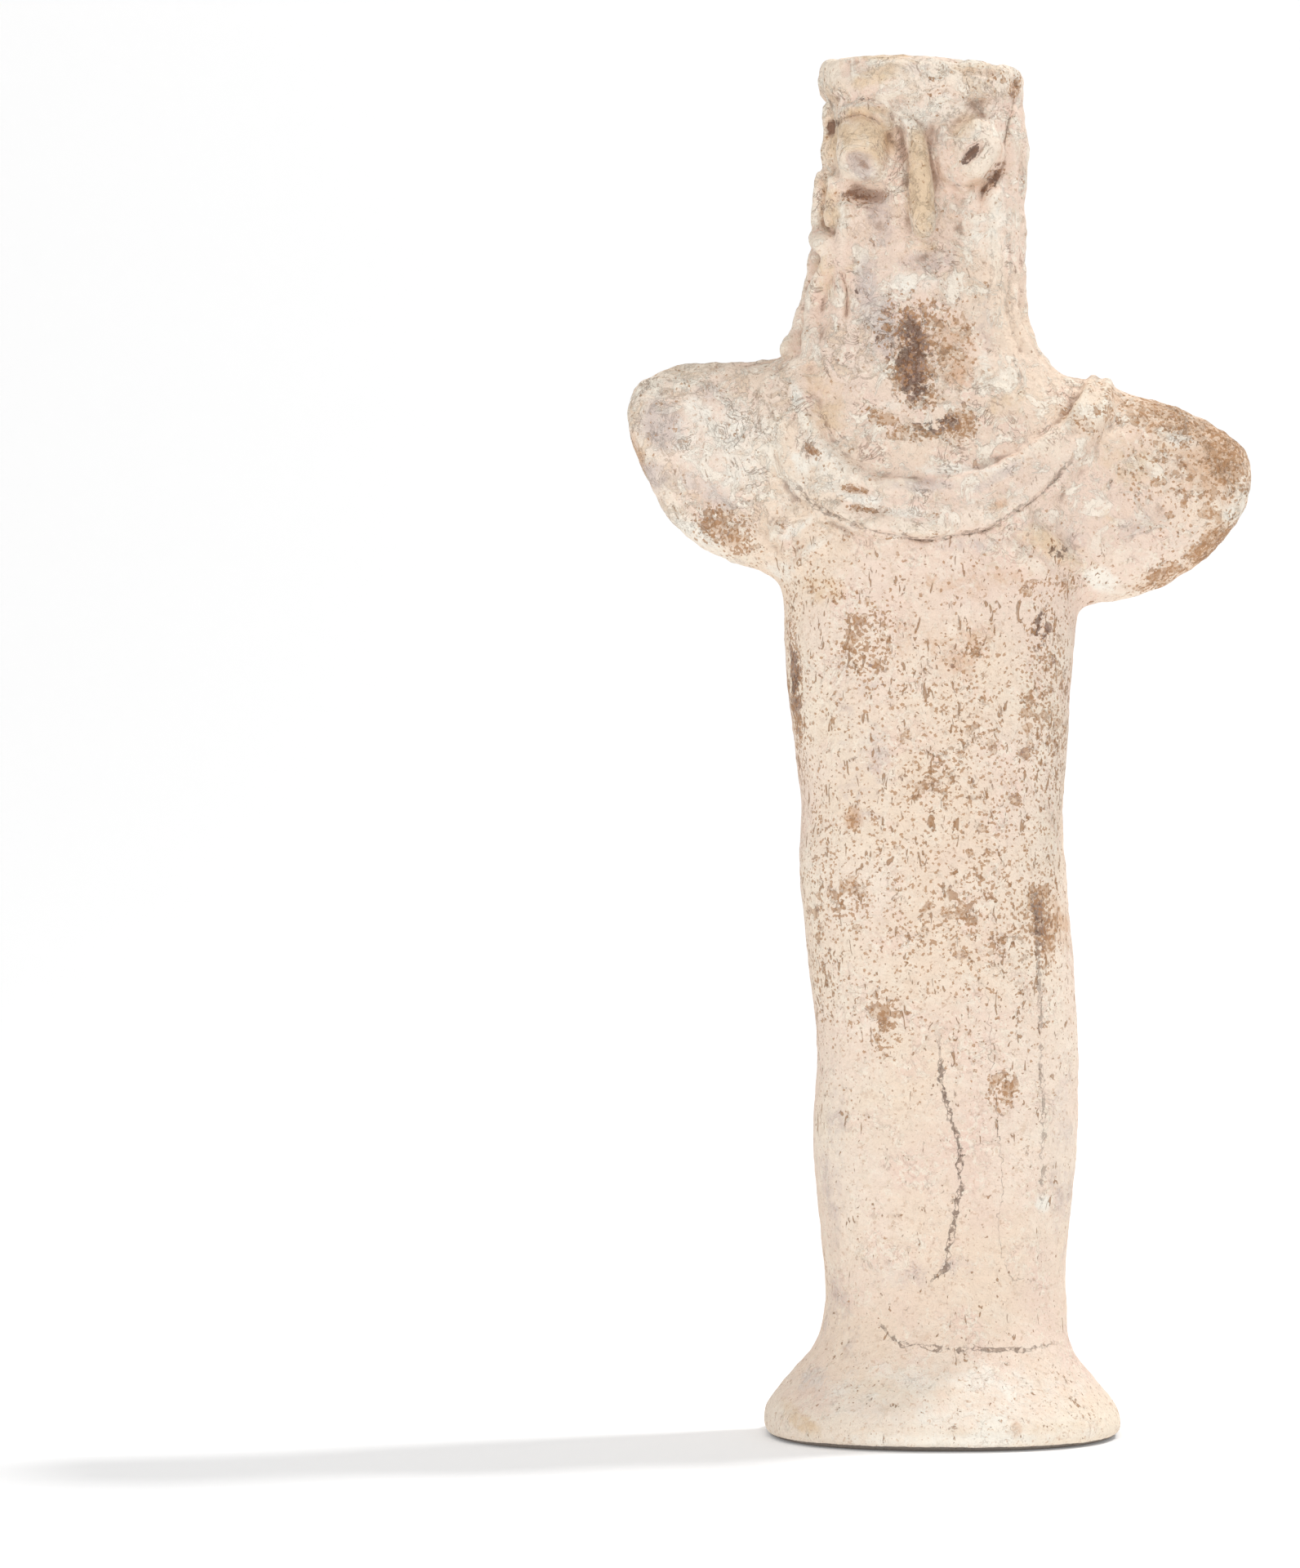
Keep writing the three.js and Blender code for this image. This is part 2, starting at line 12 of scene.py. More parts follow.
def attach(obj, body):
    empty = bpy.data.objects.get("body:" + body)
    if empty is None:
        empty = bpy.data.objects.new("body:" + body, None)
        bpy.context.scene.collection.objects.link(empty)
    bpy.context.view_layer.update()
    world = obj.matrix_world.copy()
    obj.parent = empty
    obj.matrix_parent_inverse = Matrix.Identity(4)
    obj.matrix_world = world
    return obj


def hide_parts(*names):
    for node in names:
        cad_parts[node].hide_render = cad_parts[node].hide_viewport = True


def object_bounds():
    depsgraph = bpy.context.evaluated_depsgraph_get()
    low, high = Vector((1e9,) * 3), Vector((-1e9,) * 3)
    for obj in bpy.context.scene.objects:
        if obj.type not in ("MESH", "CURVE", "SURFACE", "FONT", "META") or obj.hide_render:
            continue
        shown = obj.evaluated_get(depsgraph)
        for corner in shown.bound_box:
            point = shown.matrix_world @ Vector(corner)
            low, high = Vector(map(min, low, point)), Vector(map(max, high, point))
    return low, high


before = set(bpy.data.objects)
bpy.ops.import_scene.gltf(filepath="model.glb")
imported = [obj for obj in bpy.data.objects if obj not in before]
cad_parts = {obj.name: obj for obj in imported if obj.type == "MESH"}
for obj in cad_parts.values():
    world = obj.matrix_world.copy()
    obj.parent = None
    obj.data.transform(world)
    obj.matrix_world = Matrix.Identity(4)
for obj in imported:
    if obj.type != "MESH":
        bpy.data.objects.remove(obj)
CAD_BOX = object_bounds()

MM = 0.001
HEIGHT = CAD_BOX[1].z
PERCENT = HEIGHT / 100  # places on the idol are written in hundredths of its height
TAU = 2 * math.pi

# Widths and depths of the body's parts, as the CAD has them
FOOT = (57 * MM, 53 * MM)
PILLAR = (42 * MM, 34 * MM)
SHOULDER = (49 * MM, 30 * MM)
NECK = (34 * MM, 24 * MM)
HEAD = (29 * MM, 24 * MM)

# Other sizes, as the CAD has them
LIP_LIFT = 0.6 * MM
CROWN_DROP = 1.6 * MM
ARM_SPAN = 100 * MM
ARM_THICKNESS = 15 * MM
HOLLOW_DEPTH = 2.1 * MM
CHEEK_DEPTH = 1.3 * MM
NOSE_WIDTH = 4 * MM
NOSE_PROJECTION = 5.2 * MM
EYE_WIDTH = 9 * MM
EYE_HEIGHT = 10.8 * MM
EYE_PROJECTION = 4 * MM
BROW_WIDTH = 2 * MM
BAND_HEIGHT = 6.4 * MM
BAND_THICKNESS = 3.6 * MM
LOCK_WIDTH = 3.5 * MM
BACK_LOCK_WIDTH = 6.4 * MM
COLLAR_ROLL = 4.6 * MM
FINGER_WIDTH = 2.4 * MM

# Proportions of the clay work, as the CAD has them
UNDERSIDE_SHARE = 0.94
ARM_SQUARENESS = 2.3
KNOT_SWELL_SHARE = 0.16
BAND_MIDDLE_SHARE = 98
BAND_DROOP_SHARE = 0.35
LOCK_TOP_SHARE = 96.8
NOSE_ROOT_SHARE = 0.55
NOSE_LIFT_SHARE = 0.45
NOSE_BULK_SHARE = 0.6
PUPIL_RIM_SHARE = 0.92
PUPIL_DEPTH_SHARE = 0.5

# How finely the clay is worked
CORE_VOXEL = 0.8 * MM
SKIN_VOXEL = 0.45 * MM
JOINT_SMOOTHINGS = 70  # where the arms and the neck meet the body
MOST_TRIANGLES = 190000
CROWDING = 0.7  # how far the steps along a form crowd towards its closed ends

# Cross-sections of the body from the foot's edge to the crown: part, height, lean sideways and back,
# shares of the part's width and depth, and squareness, where 2 is an ellipse
BODY_STATIONS = [
    (FOOT, [
        (0.1, 0, 0, 0.98, 0.98, 2.3), (0.9, 0, 0, 1, 1, 2.3), (2.2, -0.1, 0, 0.97, 0.96, 2.25),
        (4.2, -0.1, 0, 0.85, 0.84, 2.1), (6.4, 0.1, 0, 0.725, 0.71, 2.3),
    ]),
    (PILLAR, [
        (9.4, 0.3, 0, 0.915, 0.97, 2.5), (14, 0.25, 0, 0.93, 0.95, 2.7), (21, 0.25, 0, 1, 0.98, 2.8),
        (28, 0.35, 0, 0.99, 0.98, 2.8), (35, -0.3, 0, 1.005, 1, 2.8), (41, -0.8, 0, 1.01, 1, 2.8),
        (46, -0.75, 0, 0.995, 1, 2.8), (52, -0.9, 0, 1.06, 1, 2.8), (58, -0.95, 0, 1.11, 0.98, 2.7),
    ]),
    (SHOULDER, [
        (64, -0.9, 0, 0.97, 1.08, 2.6), (70, -0.9, 0.05, 1, 1.02, 2.5), (74.5, -0.9, 0.1, 0.98, 0.95, 2.4),
        (77.6, -1.9, 0.2, 0.88, 0.9, 2.3),
    ]),
    (NECK, [
        (79.5, -1.75, 0.3, 1.08, 1.04, 2.3), (82, -1.65, 0.4, 0.96, 1, 2.4),
        (85.5, -1.6, 0.5, 0.92, 0.98, 2.5),
    ]),
    (HEAD, [
        (90, -1.45, 0.6, 1, 0.98, 2.6), (94.5, -1.4, 0.7, 1, 0.99, 2.6), (98, -1.6, 0.8, 0.98, 0.98, 2.6),
        (99.8, -1.8, 0.8, 0.93, 0.93, 2.4),
    ]),
]

# Each arm's side, its thumb press, and its cross-sections from inside the body to the tip: distance out
# as a share of half the span, heights of the top and bottom edge, and share of the arms' thickness
ARMS = [
    (-1, (-16.2, 66.5, 4.7, 1.35, -32, HOLLOW_DEPTH), [
        (0.16, 76, 64.5, 1.6), (0.5, 77.7, 62.4, 1.3), (0.64, 77.9, 62.8, 1.06), (0.76, 77.9, 64, 0.94),
        (0.86, 77.5, 66.1, 0.84), (0.94, 76.8, 68.9, 0.72), (0.99, 75.9, 71.6, 0.5), (1.012, 74, 73.6, 0),
    ]),
    (1, (14.7, 66.6, 3.9, 1.25, 29, HOLLOW_DEPTH), [
        (0.16, 76, 62, 1.6), (0.44, 76.9, 60.4, 1.3), (0.585, 75.9, 60.3, 1.06), (0.71, 75.1, 61.5, 0.94),
        (0.82, 73.9, 63.3, 0.84), (0.905, 72.7, 65.2, 0.72), (0.965, 71.4, 67.3, 0.5),
        (0.988, 69.8, 69.4, 0),
    ]),
]

# Finger presses in the front of the body: place, reach along and across, turn and depth
FACE_PRESSES = [
    (-4.4, 88.2, 4.4, 1.9, 90, CHEEK_DEPTH),
    (1.2, 88.2, 4.4, 1.9, 90, CHEEK_DEPTH),
    (-1.6, 85.3, 1.9, 1.5, 0, CHEEK_DEPTH * 0.6),
]

# The nose's ridge from the forehead down, with its share of the projection
NOSE_LINE = [(-3.2, 95.3, 0.35), (-2.3, 94, 0.55), (-1.85, 91, 0.8), (-1.6, 86.5, 1)]

# Each eye's place, and its pupil's place from there, half length, half width and turn
EYES = [
    ((-5.9, 93), (-0.2, -1.2), 3.1 * MM, 2.1 * MM, -45),
    ((2.1, 92.9), (-0.3, -0.3), 2.5 * MM, 0.85 * MM, 47),
]
BROWS = [
    [(-7.1, 95.5), (-5.9, 96), (-4.6, 95.4), (-3.8, 94.3)],
    [(-0.2, 94.8), (-0.5, 92.8), (0.1, 91.2), (1.6, 90.1)],
]

# Locks of hair: how far round from the front each starts and ends, its lower end's height, shares of a
# lock's width and thickness and, if it is twisted, its knots, strands and their turns
LOCKS = [
    (-53, -50, 78.5, 1, 0.8),
    (-90, -86, 77, 1.1, 0.95, 6, 2, 3.6),
    (-110, -106, 77, 1.1, 1, 4, 2, 2.4),
    (43, 44, 76, 1.25, 0.8),
    (62, 62, 75.5, 1.35, 0.85),
    (82, 80, 75.5, 1.35, 0.9),
    (102, 99, 75.5, 1.35, 0.9),
    (120, 117, 76, 1.3, 0.9),
]
BACK_LOCKS = [-155, -131, 138, 157, 180]
BACK_LOCK_HEIGHTS = [LOCK_TOP_SHARE, 91, 85, 81, 77]

# Short strands on the left of the face, with their widths
STRANDS = [
    (3 * MM, [(-8.8, 91.8), (-9, 89.6), (-8.6, 87.4)]),
    (2.1 * MM, [(-7.5, 91.2), (-7.6, 89.2), (-7.9, 87.4)]),
    (3 * MM, [(-9, 87.2), (-8.4, 86.6), (-7.8, 86)]),
    (2.1 * MM, [(-7.9, 86.4), (-8.0, 85.2), (-8.2, 84)]),
    (2.1 * MM, [(-8.8, 86.4), (-9.1, 85.2), (-9.4, 84)]),
    (2.4 * MM, [(-9.1, 84.6), (-9.7, 82.3), (-10.3, 80.3), (-11, 78)]),
    (2.2 * MM, [(-8.3, 84.4), (-8.8, 82.1), (-9.1, 80.3), (-9.5, 77.4)]),
]

# Bits of clay stuck on: place, half length, half width, half thickness and turn
LUMPS = [
    (-9, 93.1, 2.6 * MM, 1.5 * MM, 1.9 * MM, 80),
    (-7.9, 97.6, 2.4 * MM, 1.5 * MM, 1.5 * MM, 60),
    (5.1, 98.9, 2 * MM, 1.5 * MM, 1.7 * MM, -60),
]

# Rolls of the collar from the shoulder to the breastbone, with their shares of a roll's width and
# thickness
COLLAR = [
    (0.6, 0.55, [(-12.2, 76.9), (-12.8, 74.6), (-12.2, 72.7), (-11.4, 71), (-10.9, 70.2)]),
    (0.82, 0.8, [(-11.3, 77), (-11.5, 73.6), (-10.9, 70.6), (-9.5, 68.5), (-6.4, 66.5), (-2.8, 66),
                 (0.4, 66)]),
    (0.72, 0.75, [(-10.8, 77.3), (-10.7, 73.8), (-10, 71), (-8.4, 69.1), (-6, 67.8), (-3, 67.5),
                  (0.4, 67)]),
    (0.75, 0.8, [(-10.2, 78), (-9.9, 74.8), (-9.1, 72.3), (-7.8, 70.4), (-5.6, 69), (-3, 68.5),
                 (-0.6, 67.9)]),
    (1.2, 0.65, [(11.7, 76.2), (11.1, 74), (9.5, 71.6), (7.2, 69.3), (4.4, 67.6), (1.5, 66.6), (-1.8, 66)]),
    (1.3, 0.65, [(10.9, 77), (10, 74.5), (8.8, 72.8), (6.8, 70.9), (4.4, 69.4), (1.7, 68.3), (-1.5, 67.8)]),
]
FINGERS = [
    (1.15, [(-12.8, 64.9), (-11.1, 66.5), (-8.6, 66.9)]),
    (1.05, [(-11.9, 63.9), (-10.4, 65.5), (-8.3, 66.1)]),
    (0.9, [(-10.8, 62.9), (-9.3, 64.5), (-7.6, 65.3)]),
    (1.3, [(9.6, 63), (6.9, 65), (4.8, 66.4)]),
    (1.1, [(8.9, 61.6), (6.2, 63.2), (4.1, 64.9)]),
]

# The edge under the collar, along which the clay is grooved and cracked
UNDER_COLLAR = [(-11.9, 70), (-9.2, 67.2), (-5.4, 65.6), (-1.6, 64.9), (3, 65.7), (6.8, 68.2), (10, 71.8)]

# Strokes of a finger or a tool over the front, with their heights, which below nought are depths, and
# half widths in millimetres
STROKES = [
    (-1, 0.6, [(-7.4, 99.2), (-5.6, 99.3), (-4.1, 99.6), (-2, 99.6)]),
    (-1.1, 1, [(-7.6, 98.4), (-6.4, 98.9), (-5.4, 98.7)]),
    (-0.8, 0.4, [(-6.3, 97), (-5.5, 97.1), (-4.6, 97.4), (-3.5, 97.6)]),
    (-0.6, 0.35, [(-2, 96.8), (-1.1, 96.9), (0.5, 96.9), (1.8, 96.4), (4, 96.5)]),
    (-0.9, 0.45, [(1.1, 98.3), (1.7, 98.5), (3.6, 98.4)]),
    (-0.9, 0.35, [(-7.3, 95.2), (-6.1, 95.5), (-5.1, 95.1), (-4.2, 94.2), (-3.9, 93.2)]),
    (-0.5, 0.3, [(-4, 95.5), (-3.6, 94.4), (-3.2, 93.9)]),
    (-1.1, 0.4, [(-0.2, 92), (0.5, 91), (1.4, 90.4), (2.3, 90.4)]),
    (-1.2, 0.45, [(5.3, 97.9), (4.6, 95.1), (4.2, 93.5), (3.6, 92.2), (2.9, 90.7), (2.5, 88.9)]),
    (-0.6, 1.5, [(-3.3, 94.2), (-3, 91), (-2.9, 88), (-2.6, 86.2)]),
    (-0.5, 1.5, [(-1, 94), (-0.5, 91), (-0.2, 88), (-0.5, 86.2)]),
    (-1.3, 0.4, [(-7.55, 84.6), (-7, 82.6), (-7.1, 80.6)]),
    (-0.8, 0.35, UNDER_COLLAR),
    (0.8, 2.6, [(-21, 69.4), (-19.2, 66.6), (-15.6, 63.9), (-12.1, 62.9), (-10, 63.2)]),
    (0.7, 2.6, [(19, 69.6), (15.6, 66.2), (12.5, 64), (9.5, 62.9)]),
    (-0.35, 0.7, [(11.4, 64.7), (12.8, 65.4), (14.4, 66.3), (16.6, 67.7)]),
]

# Hollows in the front: place, reach along and across, turn and depth
DENTS = [
    (-4.7, 88.4, 3.8, 1.6, 88, 1.1 * MM),
    (1, 88, 3.6, 1.5, 92, 1.1 * MM),
    (-1.5, 85.2, 2.4, 1, 0, 0.6 * MM),
    (-6.1, 89.8, 2.2, 1, -4, 2.8 * MM),
    (3.5, 91, 2, 0.7, 62, 2.8 * MM),
    (-8, 94.8, 1, 0.6, 60, 1.6 * MM),
    (5.05, 97.8, 0.5, 0.35, 80, 1.4 * MM),
    (-9.5, 71.3, 0.9, 0.45, -48, 0.9 * MM),
    (-6.7, 68.5, 1.5, 0.4, -14, 0.9 * MM),
    (-9.5, 69.4, 1, 0.35, -40, 0.7 * MM),
    (-6, 67.1, 1.6, 0.35, -8, 0.7 * MM),
]

# Stains on the front, among them patches of painted shade and painted highlight: place, reach across and
# up, strength and, for some, turn
STAINS = {
    # Brown crust and stains; the patches under the left eye, in the eye hollows and in the dents are
    # painted shadow
    "brown_crust_and_shade": [
        (-2.2, 79.9, 3, 3.2, 0.85, -8), (-2.4, 77.2, 2.1, 2.2, 1), (-1.8, 75.2, 1.5, 1.4, 0.8),
        (-4.5, 73.6, 1.6, 0.8, 0.9, -20), (0.9, 73.1, 1.7, 1.4, 1, 20), (-2.2, 72.5, 2.2, 0.8, 0.9),
        (1, 79.2, 1.8, 3, 0.5), (-15.6, 65.6, 2.9, 1.6, 0.85, -35), (-6.7, 68.5, 1.2, 0.35, 1, -14),
        (-9.5, 71.3, 0.9, 0.4, 1, -48), (-6, 67.1, 1.4, 0.3, 0.8, -8), (16.3, 74, 3, 1.5, 0.95, -28),
        (20.3, 70.8, 2.2, 3.4, 0.95, 14), (19.4, 64.6, 2.8, 1.6, 0.95, 42), (19.1, 67.1, 1.1, 0.9, 0.9),
        (15.9, 62.3, 2.6, 1, 0.8, 18), (17.8, 70, 6.4, 5.8, 0.36), (14, 74.2, 4.4, 1.8, 0.5, -24),
        (7.4, 61.6, 3, 0.9, 0.45, 4), (11.4, 74, 1.2, 0.7, 0.7, -20), (-5.8, 57.6, 2, 3.8, 0.68),
        (2.2, 56.9, 1.1, 0.9, 0.7), (7, 54, 2.1, 7.6, 0.5), (-10.9, 53.2, 0.8, 7, 0.9, 3),
        (6.9, 37.9, 1.5, 3.8, 0.85), (-4.3, 30.3, 1.3, 2.8, 0.8, 4), (4.1, 25.3, 1.3, 1.6, 0.8),
        (-6.7, 45, 0.5, 1, 0.9), (1, 45, 6.4, 12, 0.22), (-8.7, 39, 1.2, 8, 0.35),
        (-8.9, 61.5, 1.8, 1, 0.4), (1.2, 38, 6.4, 4.6, 0.34), (4, 98.2, 0.9, 0.7, 0.5),
        (5.1, 97.6, 0.5, 1.2, 0.9, -20), (-6.2, 89.7, 2, 0.7, 0.6), (3.5, 91, 0.6, 1.6, 0.7, -28),
        (9.6, 73.6, 2.2, 0.8, 0.5, -30), (-0.8, 48, 2.6, 2, 0.4), (-7, 39, 2, 3, 0.45),
    ],
    # Deep brown stains on the neck and pillar; the patches in and beside the eyes, under the headband,
    # beside the middle crack and along the left edge are painted shadow
    "dark_stain_and_shadow": [
        (-2.6, 78.6, 1.8, 3.6, 0.8, -4), (-2.3, 76, 1.4, 1.8, 0.85), (1.2, 82.7, 0.7, 0.5, 0.5, 40),
        (-4.9, 79.3, 0.5, 0.5, 0.5), (6.8, 58.4, 1.2, 1.8, 0.75), (8.1, 64, 1.2, 1, 0.7),
        (1.8, 92.6, 0.5, 1.4, 1, -43), (3.5, 91, 0.6, 1.7, 0.8, -28), (-6.2, 89.7, 1.9, 0.7, 0.65),
        (-8, 94.9, 0.6, 0.9, 1, -30), (-10.8, 55, 0.5, 3.5, 0.8, 3), (-0.6, 73.2, 2, 0.9, 0.75, 5),
        (19.9, 64, 2, 0.8, 0.5, 45), (6.7, 37.8, 0.8, 3, 0.65), (1.05, 21, 0.5, 2.4, 0.6),
        (-6, 96.6, 0.5, 0.3, 0.8), (-6.4, 82.4, 0.4, 0.9, 0.7),
    ],
    "orange": [
        (19.8, 71.2, 3.8, 4.2, 0.75, 14), (19.2, 64.6, 2.8, 1.6, 0.6, 42), (16, 62.2, 2.8, 1, 0.5, 18),
        (0.6, 78.6, 2, 3, 0.6, 10), (-22.2, 70.8, 0.8, 2.4, 0.7, 14), (-6.7, 45, 0.7, 1.2, 0.8),
        (2.4, 90.4, 1.4, 0.7, 0.8, 10), (4.8, 1.6, 0.5, 0.8, 0.9), (-3, 3.2, 5, 1.6, 0.3),
        (7.6, 37.5, 2, 3.4, 0.5), (-15.6, 70.4, 2.6, 1.4, 0.2), (1.8, 61.8, 5, 1.4, 0.4),
        (3.6, 67.4, 1.2, 0.5, 0.5, 25), (14.6, 74.2, 4.6, 1.6, 0.5, -26), (0.6, 57.5, 6, 3, 0.3),
    ],
    "ochre": [
        (-4.6, 99.9, 3.2, 0.8, 0.8), (-5, 98.2, 2.6, 0.9, 0.8, 20), (-5.6, 95.7, 2.2, 0.5, 0.8),
        (-1.9, 90.8, 1.2, 5.2, 0.9, 3), (-5.8, 93.6, 2.9, 2.6, 0.9), (1.2, 94.6, 1.6, 1.2, 0.6, 30),
        (-8.3, 88.8, 1, 2.6, 0.7), (-8.6, 84, 1, 2.6, 0.6, 8), (-6.9, 84.6, 0.6, 1.6, 0.5),
        (-8.4, 74.4, 1.8, 2.6, 0.6), (-9.4, 76.4, 1.4, 1.8, 0.5), (8, 64.3, 3.6, 1.5, 0.55, -28),
        (13.4, 70.6, 4, 3.2, 0.5), (12.2, 66.8, 2.6, 1.4, 0.4, 20), (4.6, 74.6, 3, 1.4, 0.5, 20),
        (2, 98.6, 2, 0.8, 0.3), (-1.4, 85.9, 1.6, 0.5, 0.5), (0, 1.6, 12, 0.6, 0.3),
        (-10.4, 1.8, 2.2, 1, 0.8, -30), (-14.8, 68.6, 3, 1.6, 0.2), (-3.4, 3.8, 4.4, 1.6, 0.5),
        (-8.6, 61.4, 2, 1.2, 0.6),
    ],
    # Painted shade: in the thumb presses and cheeks, under the nose, in the left pupil, beside the nose and
    # neck, under the collar and headband, and on the turned-away sides of the pillar and foot
    "mauve_shade": [
        (-20.4, 73.2, 1.9, 2.4, 0.95), (-20.8, 69.6, 1.5, 1.4, 0.8), (-17.2, 68.6, 3.2, 1, 0.7, -32),
        (-17.2, 75.6, 1.6, 1, 0.5), (14.5, 66.6, 3.8, 1, 0.4, 34), (-1.4, 84.9, 2.6, 1, 0.5),
        (-4.8, 88, 1.2, 3, 0.6), (0.5, 88, 1, 3.4, 0.25), (-5.6, 83, 1, 3.4, 0.75), (-4.6, 80, 1.4, 3, 0.6),
        (2.6, 81.8, 0.9, 4, 0.4), (-6.1, 91.8, 1.5, 1.1, 1, -45), (-0.6, 93.4, 0.7, 1.6, 0.6),
        (-2, 68.8, 3.4, 0.6, 0.6), (3.6, 69.4, 2.6, 0.5, 0.6, 30), (-7.8, 8.6, 1.8, 5, 0.4, 18),
        (-9.6, 4.2, 2.4, 1.2, 0.4, 20), (0, 12, 7.5, 1.6, 0.3), (-5, 2.8, 2.6, 1, 0.35),
        (-6, 50, 2.4, 8, 0.3), (9, 66, 2, 2, 0.4), (8.6, 20, 1.2, 9, 0.4), (-8, 20, 1.2, 8, 0.4),
        (0.6, 64.6, 4, 0.7, 0.5), (-3, 98.6, 2.6, 0.6, 0.3),
    ],
    # Pale patches on the neck, chest, pillar and foot; the whitish strips on the collar rolls, finger marks
    # and hair strands, and the bright right cheek, are painted highlights
    "white": [
        (-17.6, 74, 2.2, 1.2, 0.7, -45), (-16, 71.4, 5.6, 4.4, 0.5), (-8.6, 69.6, 2.6, 3.4, 0.5, 30),
        (-1, 95.6, 5, 1.6, 0.6), (2.8, 88, 2.2, 4, 0.6), (-11, 69, 2, 3, 0.4),
        (-17.5, 64.6, 4.6, 1.2, 0.7, -38), (-12, 62.6, 2, 1, 0.6), (-10.5, 65.9, 2, 0.5, 0.7, 35),
        (-9.4, 64.6, 1.6, 0.5, 0.6, 35), (-10.4, 70.4, 1.4, 0.6, 0.8, -50),
        (-6.4, 67.9, 2.4, 0.5, 0.8, -12), (-3, 66.9, 2, 0.5, 0.6), (-9.3, 78.8, 0.4, 1.8, 0.7),
        (-10.8, 75.6, 0.5, 1.8, 0.7, 12), (-2.2, 83.4, 2.4, 0.9, 0.6), (11.4, 62.1, 1.6, 1.1, 1, -20),
        (2.8, 77.6, 0.6, 1.2, 0.6, 20), (8.2, 78, 1, 0.8, 0.7), (7, 17.2, 0.7, 0.7, 1),
        (17.2, 72, 1.8, 0.7, 0.6, -10), (0.6, 70, 4, 0.5, 0.6), (-4, 74.6, 1, 0.6, 0.5),
        (0, 0.9, 13, 0.7, 0.6), (0, 3.6, 12, 3.2, 0.5), (20.6, 66.9, 0.8, 0.6, 0.7, 30),
    ],
}

# Cracks in the front, with their strengths
CRACKS = [
    (0.7, UNDER_COLLAR),
    (1, [(-0.8, 30.7), (-0.2, 25.3), (0.7, 22.4), (1.1, 18.8), (0.4, 15.2), (-0.2, 12.5), (-1.4, 11.4)]),
    (0.65, [(6.4, 41.4), (6.8, 30.7), (7, 21.2), (6.8, 16.4)]),
    (0.9, [(-4.7, 9), (-4.2, 7.9), (-3, 7.4), (0, 7), (3, 6.95), (9.3, 7.1)]),
    (0.4, [(13.2, 65.1), (14.4, 65.4), (15.8, 66.1)]),
    (0.5, [(5, 78.5), (5.3, 77.2), (5.6, 76)]),
    (0.35, [(3.3, 87.6), (3.4, 84.6), (3.2, 82)]),
    (0.35, [(4.6, 87.4), (4.7, 83.4), (4.9, 80)]),
    (0.35, [(-6.3, 86.5), (-6.35, 83.6), (-6.4, 81)]),
]


# Nodes, for the rolls of clay and for the material

def operator(operation, reflected=False):
    """A method that makes a math node of a socket and the other value."""
    def method(self, *others):
        values = [*others, self] if reflected else [self, *others]
        return self.graph.math(operation, *values)
    return method


class Socket:
    """A node's output, which can be used in sums with numbers and with other outputs."""

    __add__ = __radd__ = operator("ADD")
    __sub__ = operator("SUBTRACT")
    __rsub__ = operator("SUBTRACT", reflected=True)
    __mul__ = __rmul__ = operator("MULTIPLY")
    __truediv__ = operator("DIVIDE")
    __rtruediv__ = operator("DIVIDE", reflected=True)
    __pow__ = operator("POWER")
    __abs__ = operator("ABSOLUTE")

    def __init__(self, graph, output):
        self.graph = graph
        self.output = output

    def math(self, operation, *others):
        return self.graph.math(operation, self, *others)


class Graph:
    """A node tree that is written one node at a time."""

    def __init__(self, tree):
        self.tree = tree

    def add(self, kind, inputs=(), **settings):
        """Adds a node and gives its outputs by name. Inputs are a list in order or a dict by name."""
        node = self.tree.nodes.new(kind)
        for name, value in settings.items():
            setattr(node, name, value)
        shown = [socket for socket in node.inputs if socket.enabled]
        pairs = inputs.items() if isinstance(inputs, dict) else enumerate(inputs)
        for key, value in pairs:
            socket = shown[key] if isinstance(key, int) else next(s for s in shown if s.name == key)
            if isinstance(value, Socket):
                self.tree.links.new(value.output, socket)
            else:
                socket.default_value = value
        return {socket.name: Socket(self, socket) for socket in node.outputs if socket.enabled}

    def math(self, operation, *values):
        return self.add("ShaderNodeMath", values, operation=operation)["Value"]

    def vector(self, operation, *values):
        return self.add("ShaderNodeVectorMath", values, operation=operation)["Vector"]


# Clay forms as arrays of points and faces

def signed_power(value, power):
    return np.sign(value) * np.abs(value) ** power


def round_angles(sides):
    return np.linspace(0, TAU, sides, endpoint=False)[None, :]


def smooth_curve(points, shares):
    """Points on a Catmull-Rom curve through the given ones, at shares of its parameter."""
    points = np.asarray(points, float)
    padded = np.vstack([2 * points[0] - points[1], points, 2 * points[-1] - points[-2]])
    place = np.clip(np.asarray(shares, float), 0, 1) * (len(points) - 1)
    index = np.minimum(place.astype(int), len(points) - 2)
    step = (place - index)[:, None]
    before, start, end, after = (padded[index + offset] for offset in range(4))
    leave = (end - before) / 2
    arrive = (after - start) / 2
    cubic = 2 * start - 2 * end + leave + arrive
    square = 3 * end - 3 * start - 2 * leave - arrive
    return ((cubic * step + square) * step + leave) * step + start


# The body's sections, finely sampled from bottom to top: height, lean sideways and back, half width,
# half depth and squareness
SECTIONS = smooth_curve(
    [
        (z * PERCENT, shift * PERCENT, setback * PERCENT, part[0] * width / 2, part[1] * depth / 2, square)
        for part, stations in BODY_STATIONS
        for z, shift, setback, width, depth, square in stations
    ],
    np.linspace(0, 1, 241),
)


def section_at(z):
    """The body's lean sideways and back, half width, half depth and squareness at a height."""
    return [np.interp(z, SECTIONS[:, 0], SECTIONS[:, column]) for column in range(1, 6)]


def turned(dx, dz, long, wide, degrees):
    """Where places lie along and across a turned mark, as shares of its reach from the middle."""
    turn = math.radians(degrees)
    along = (dx * math.cos(turn) + dz * math.sin(turn)) / long
    return along, (dz * math.cos(turn) - dx * math.sin(turn)) / wide


def pressed(x, z, presses):
    """How deep the presses are at a place on the front."""
    depth = 0
    for middle_x, middle_z, long, wide, degrees, press in presses:
        dx = x - middle_x * PERCENT
        dz = z - middle_z * PERCENT
        along, across = turned(dx, dz, long * PERCENT, wide * PERCENT, degrees)
        depth = depth + press * np.exp(-2 * (along ** 2 + across ** 2))
    return depth


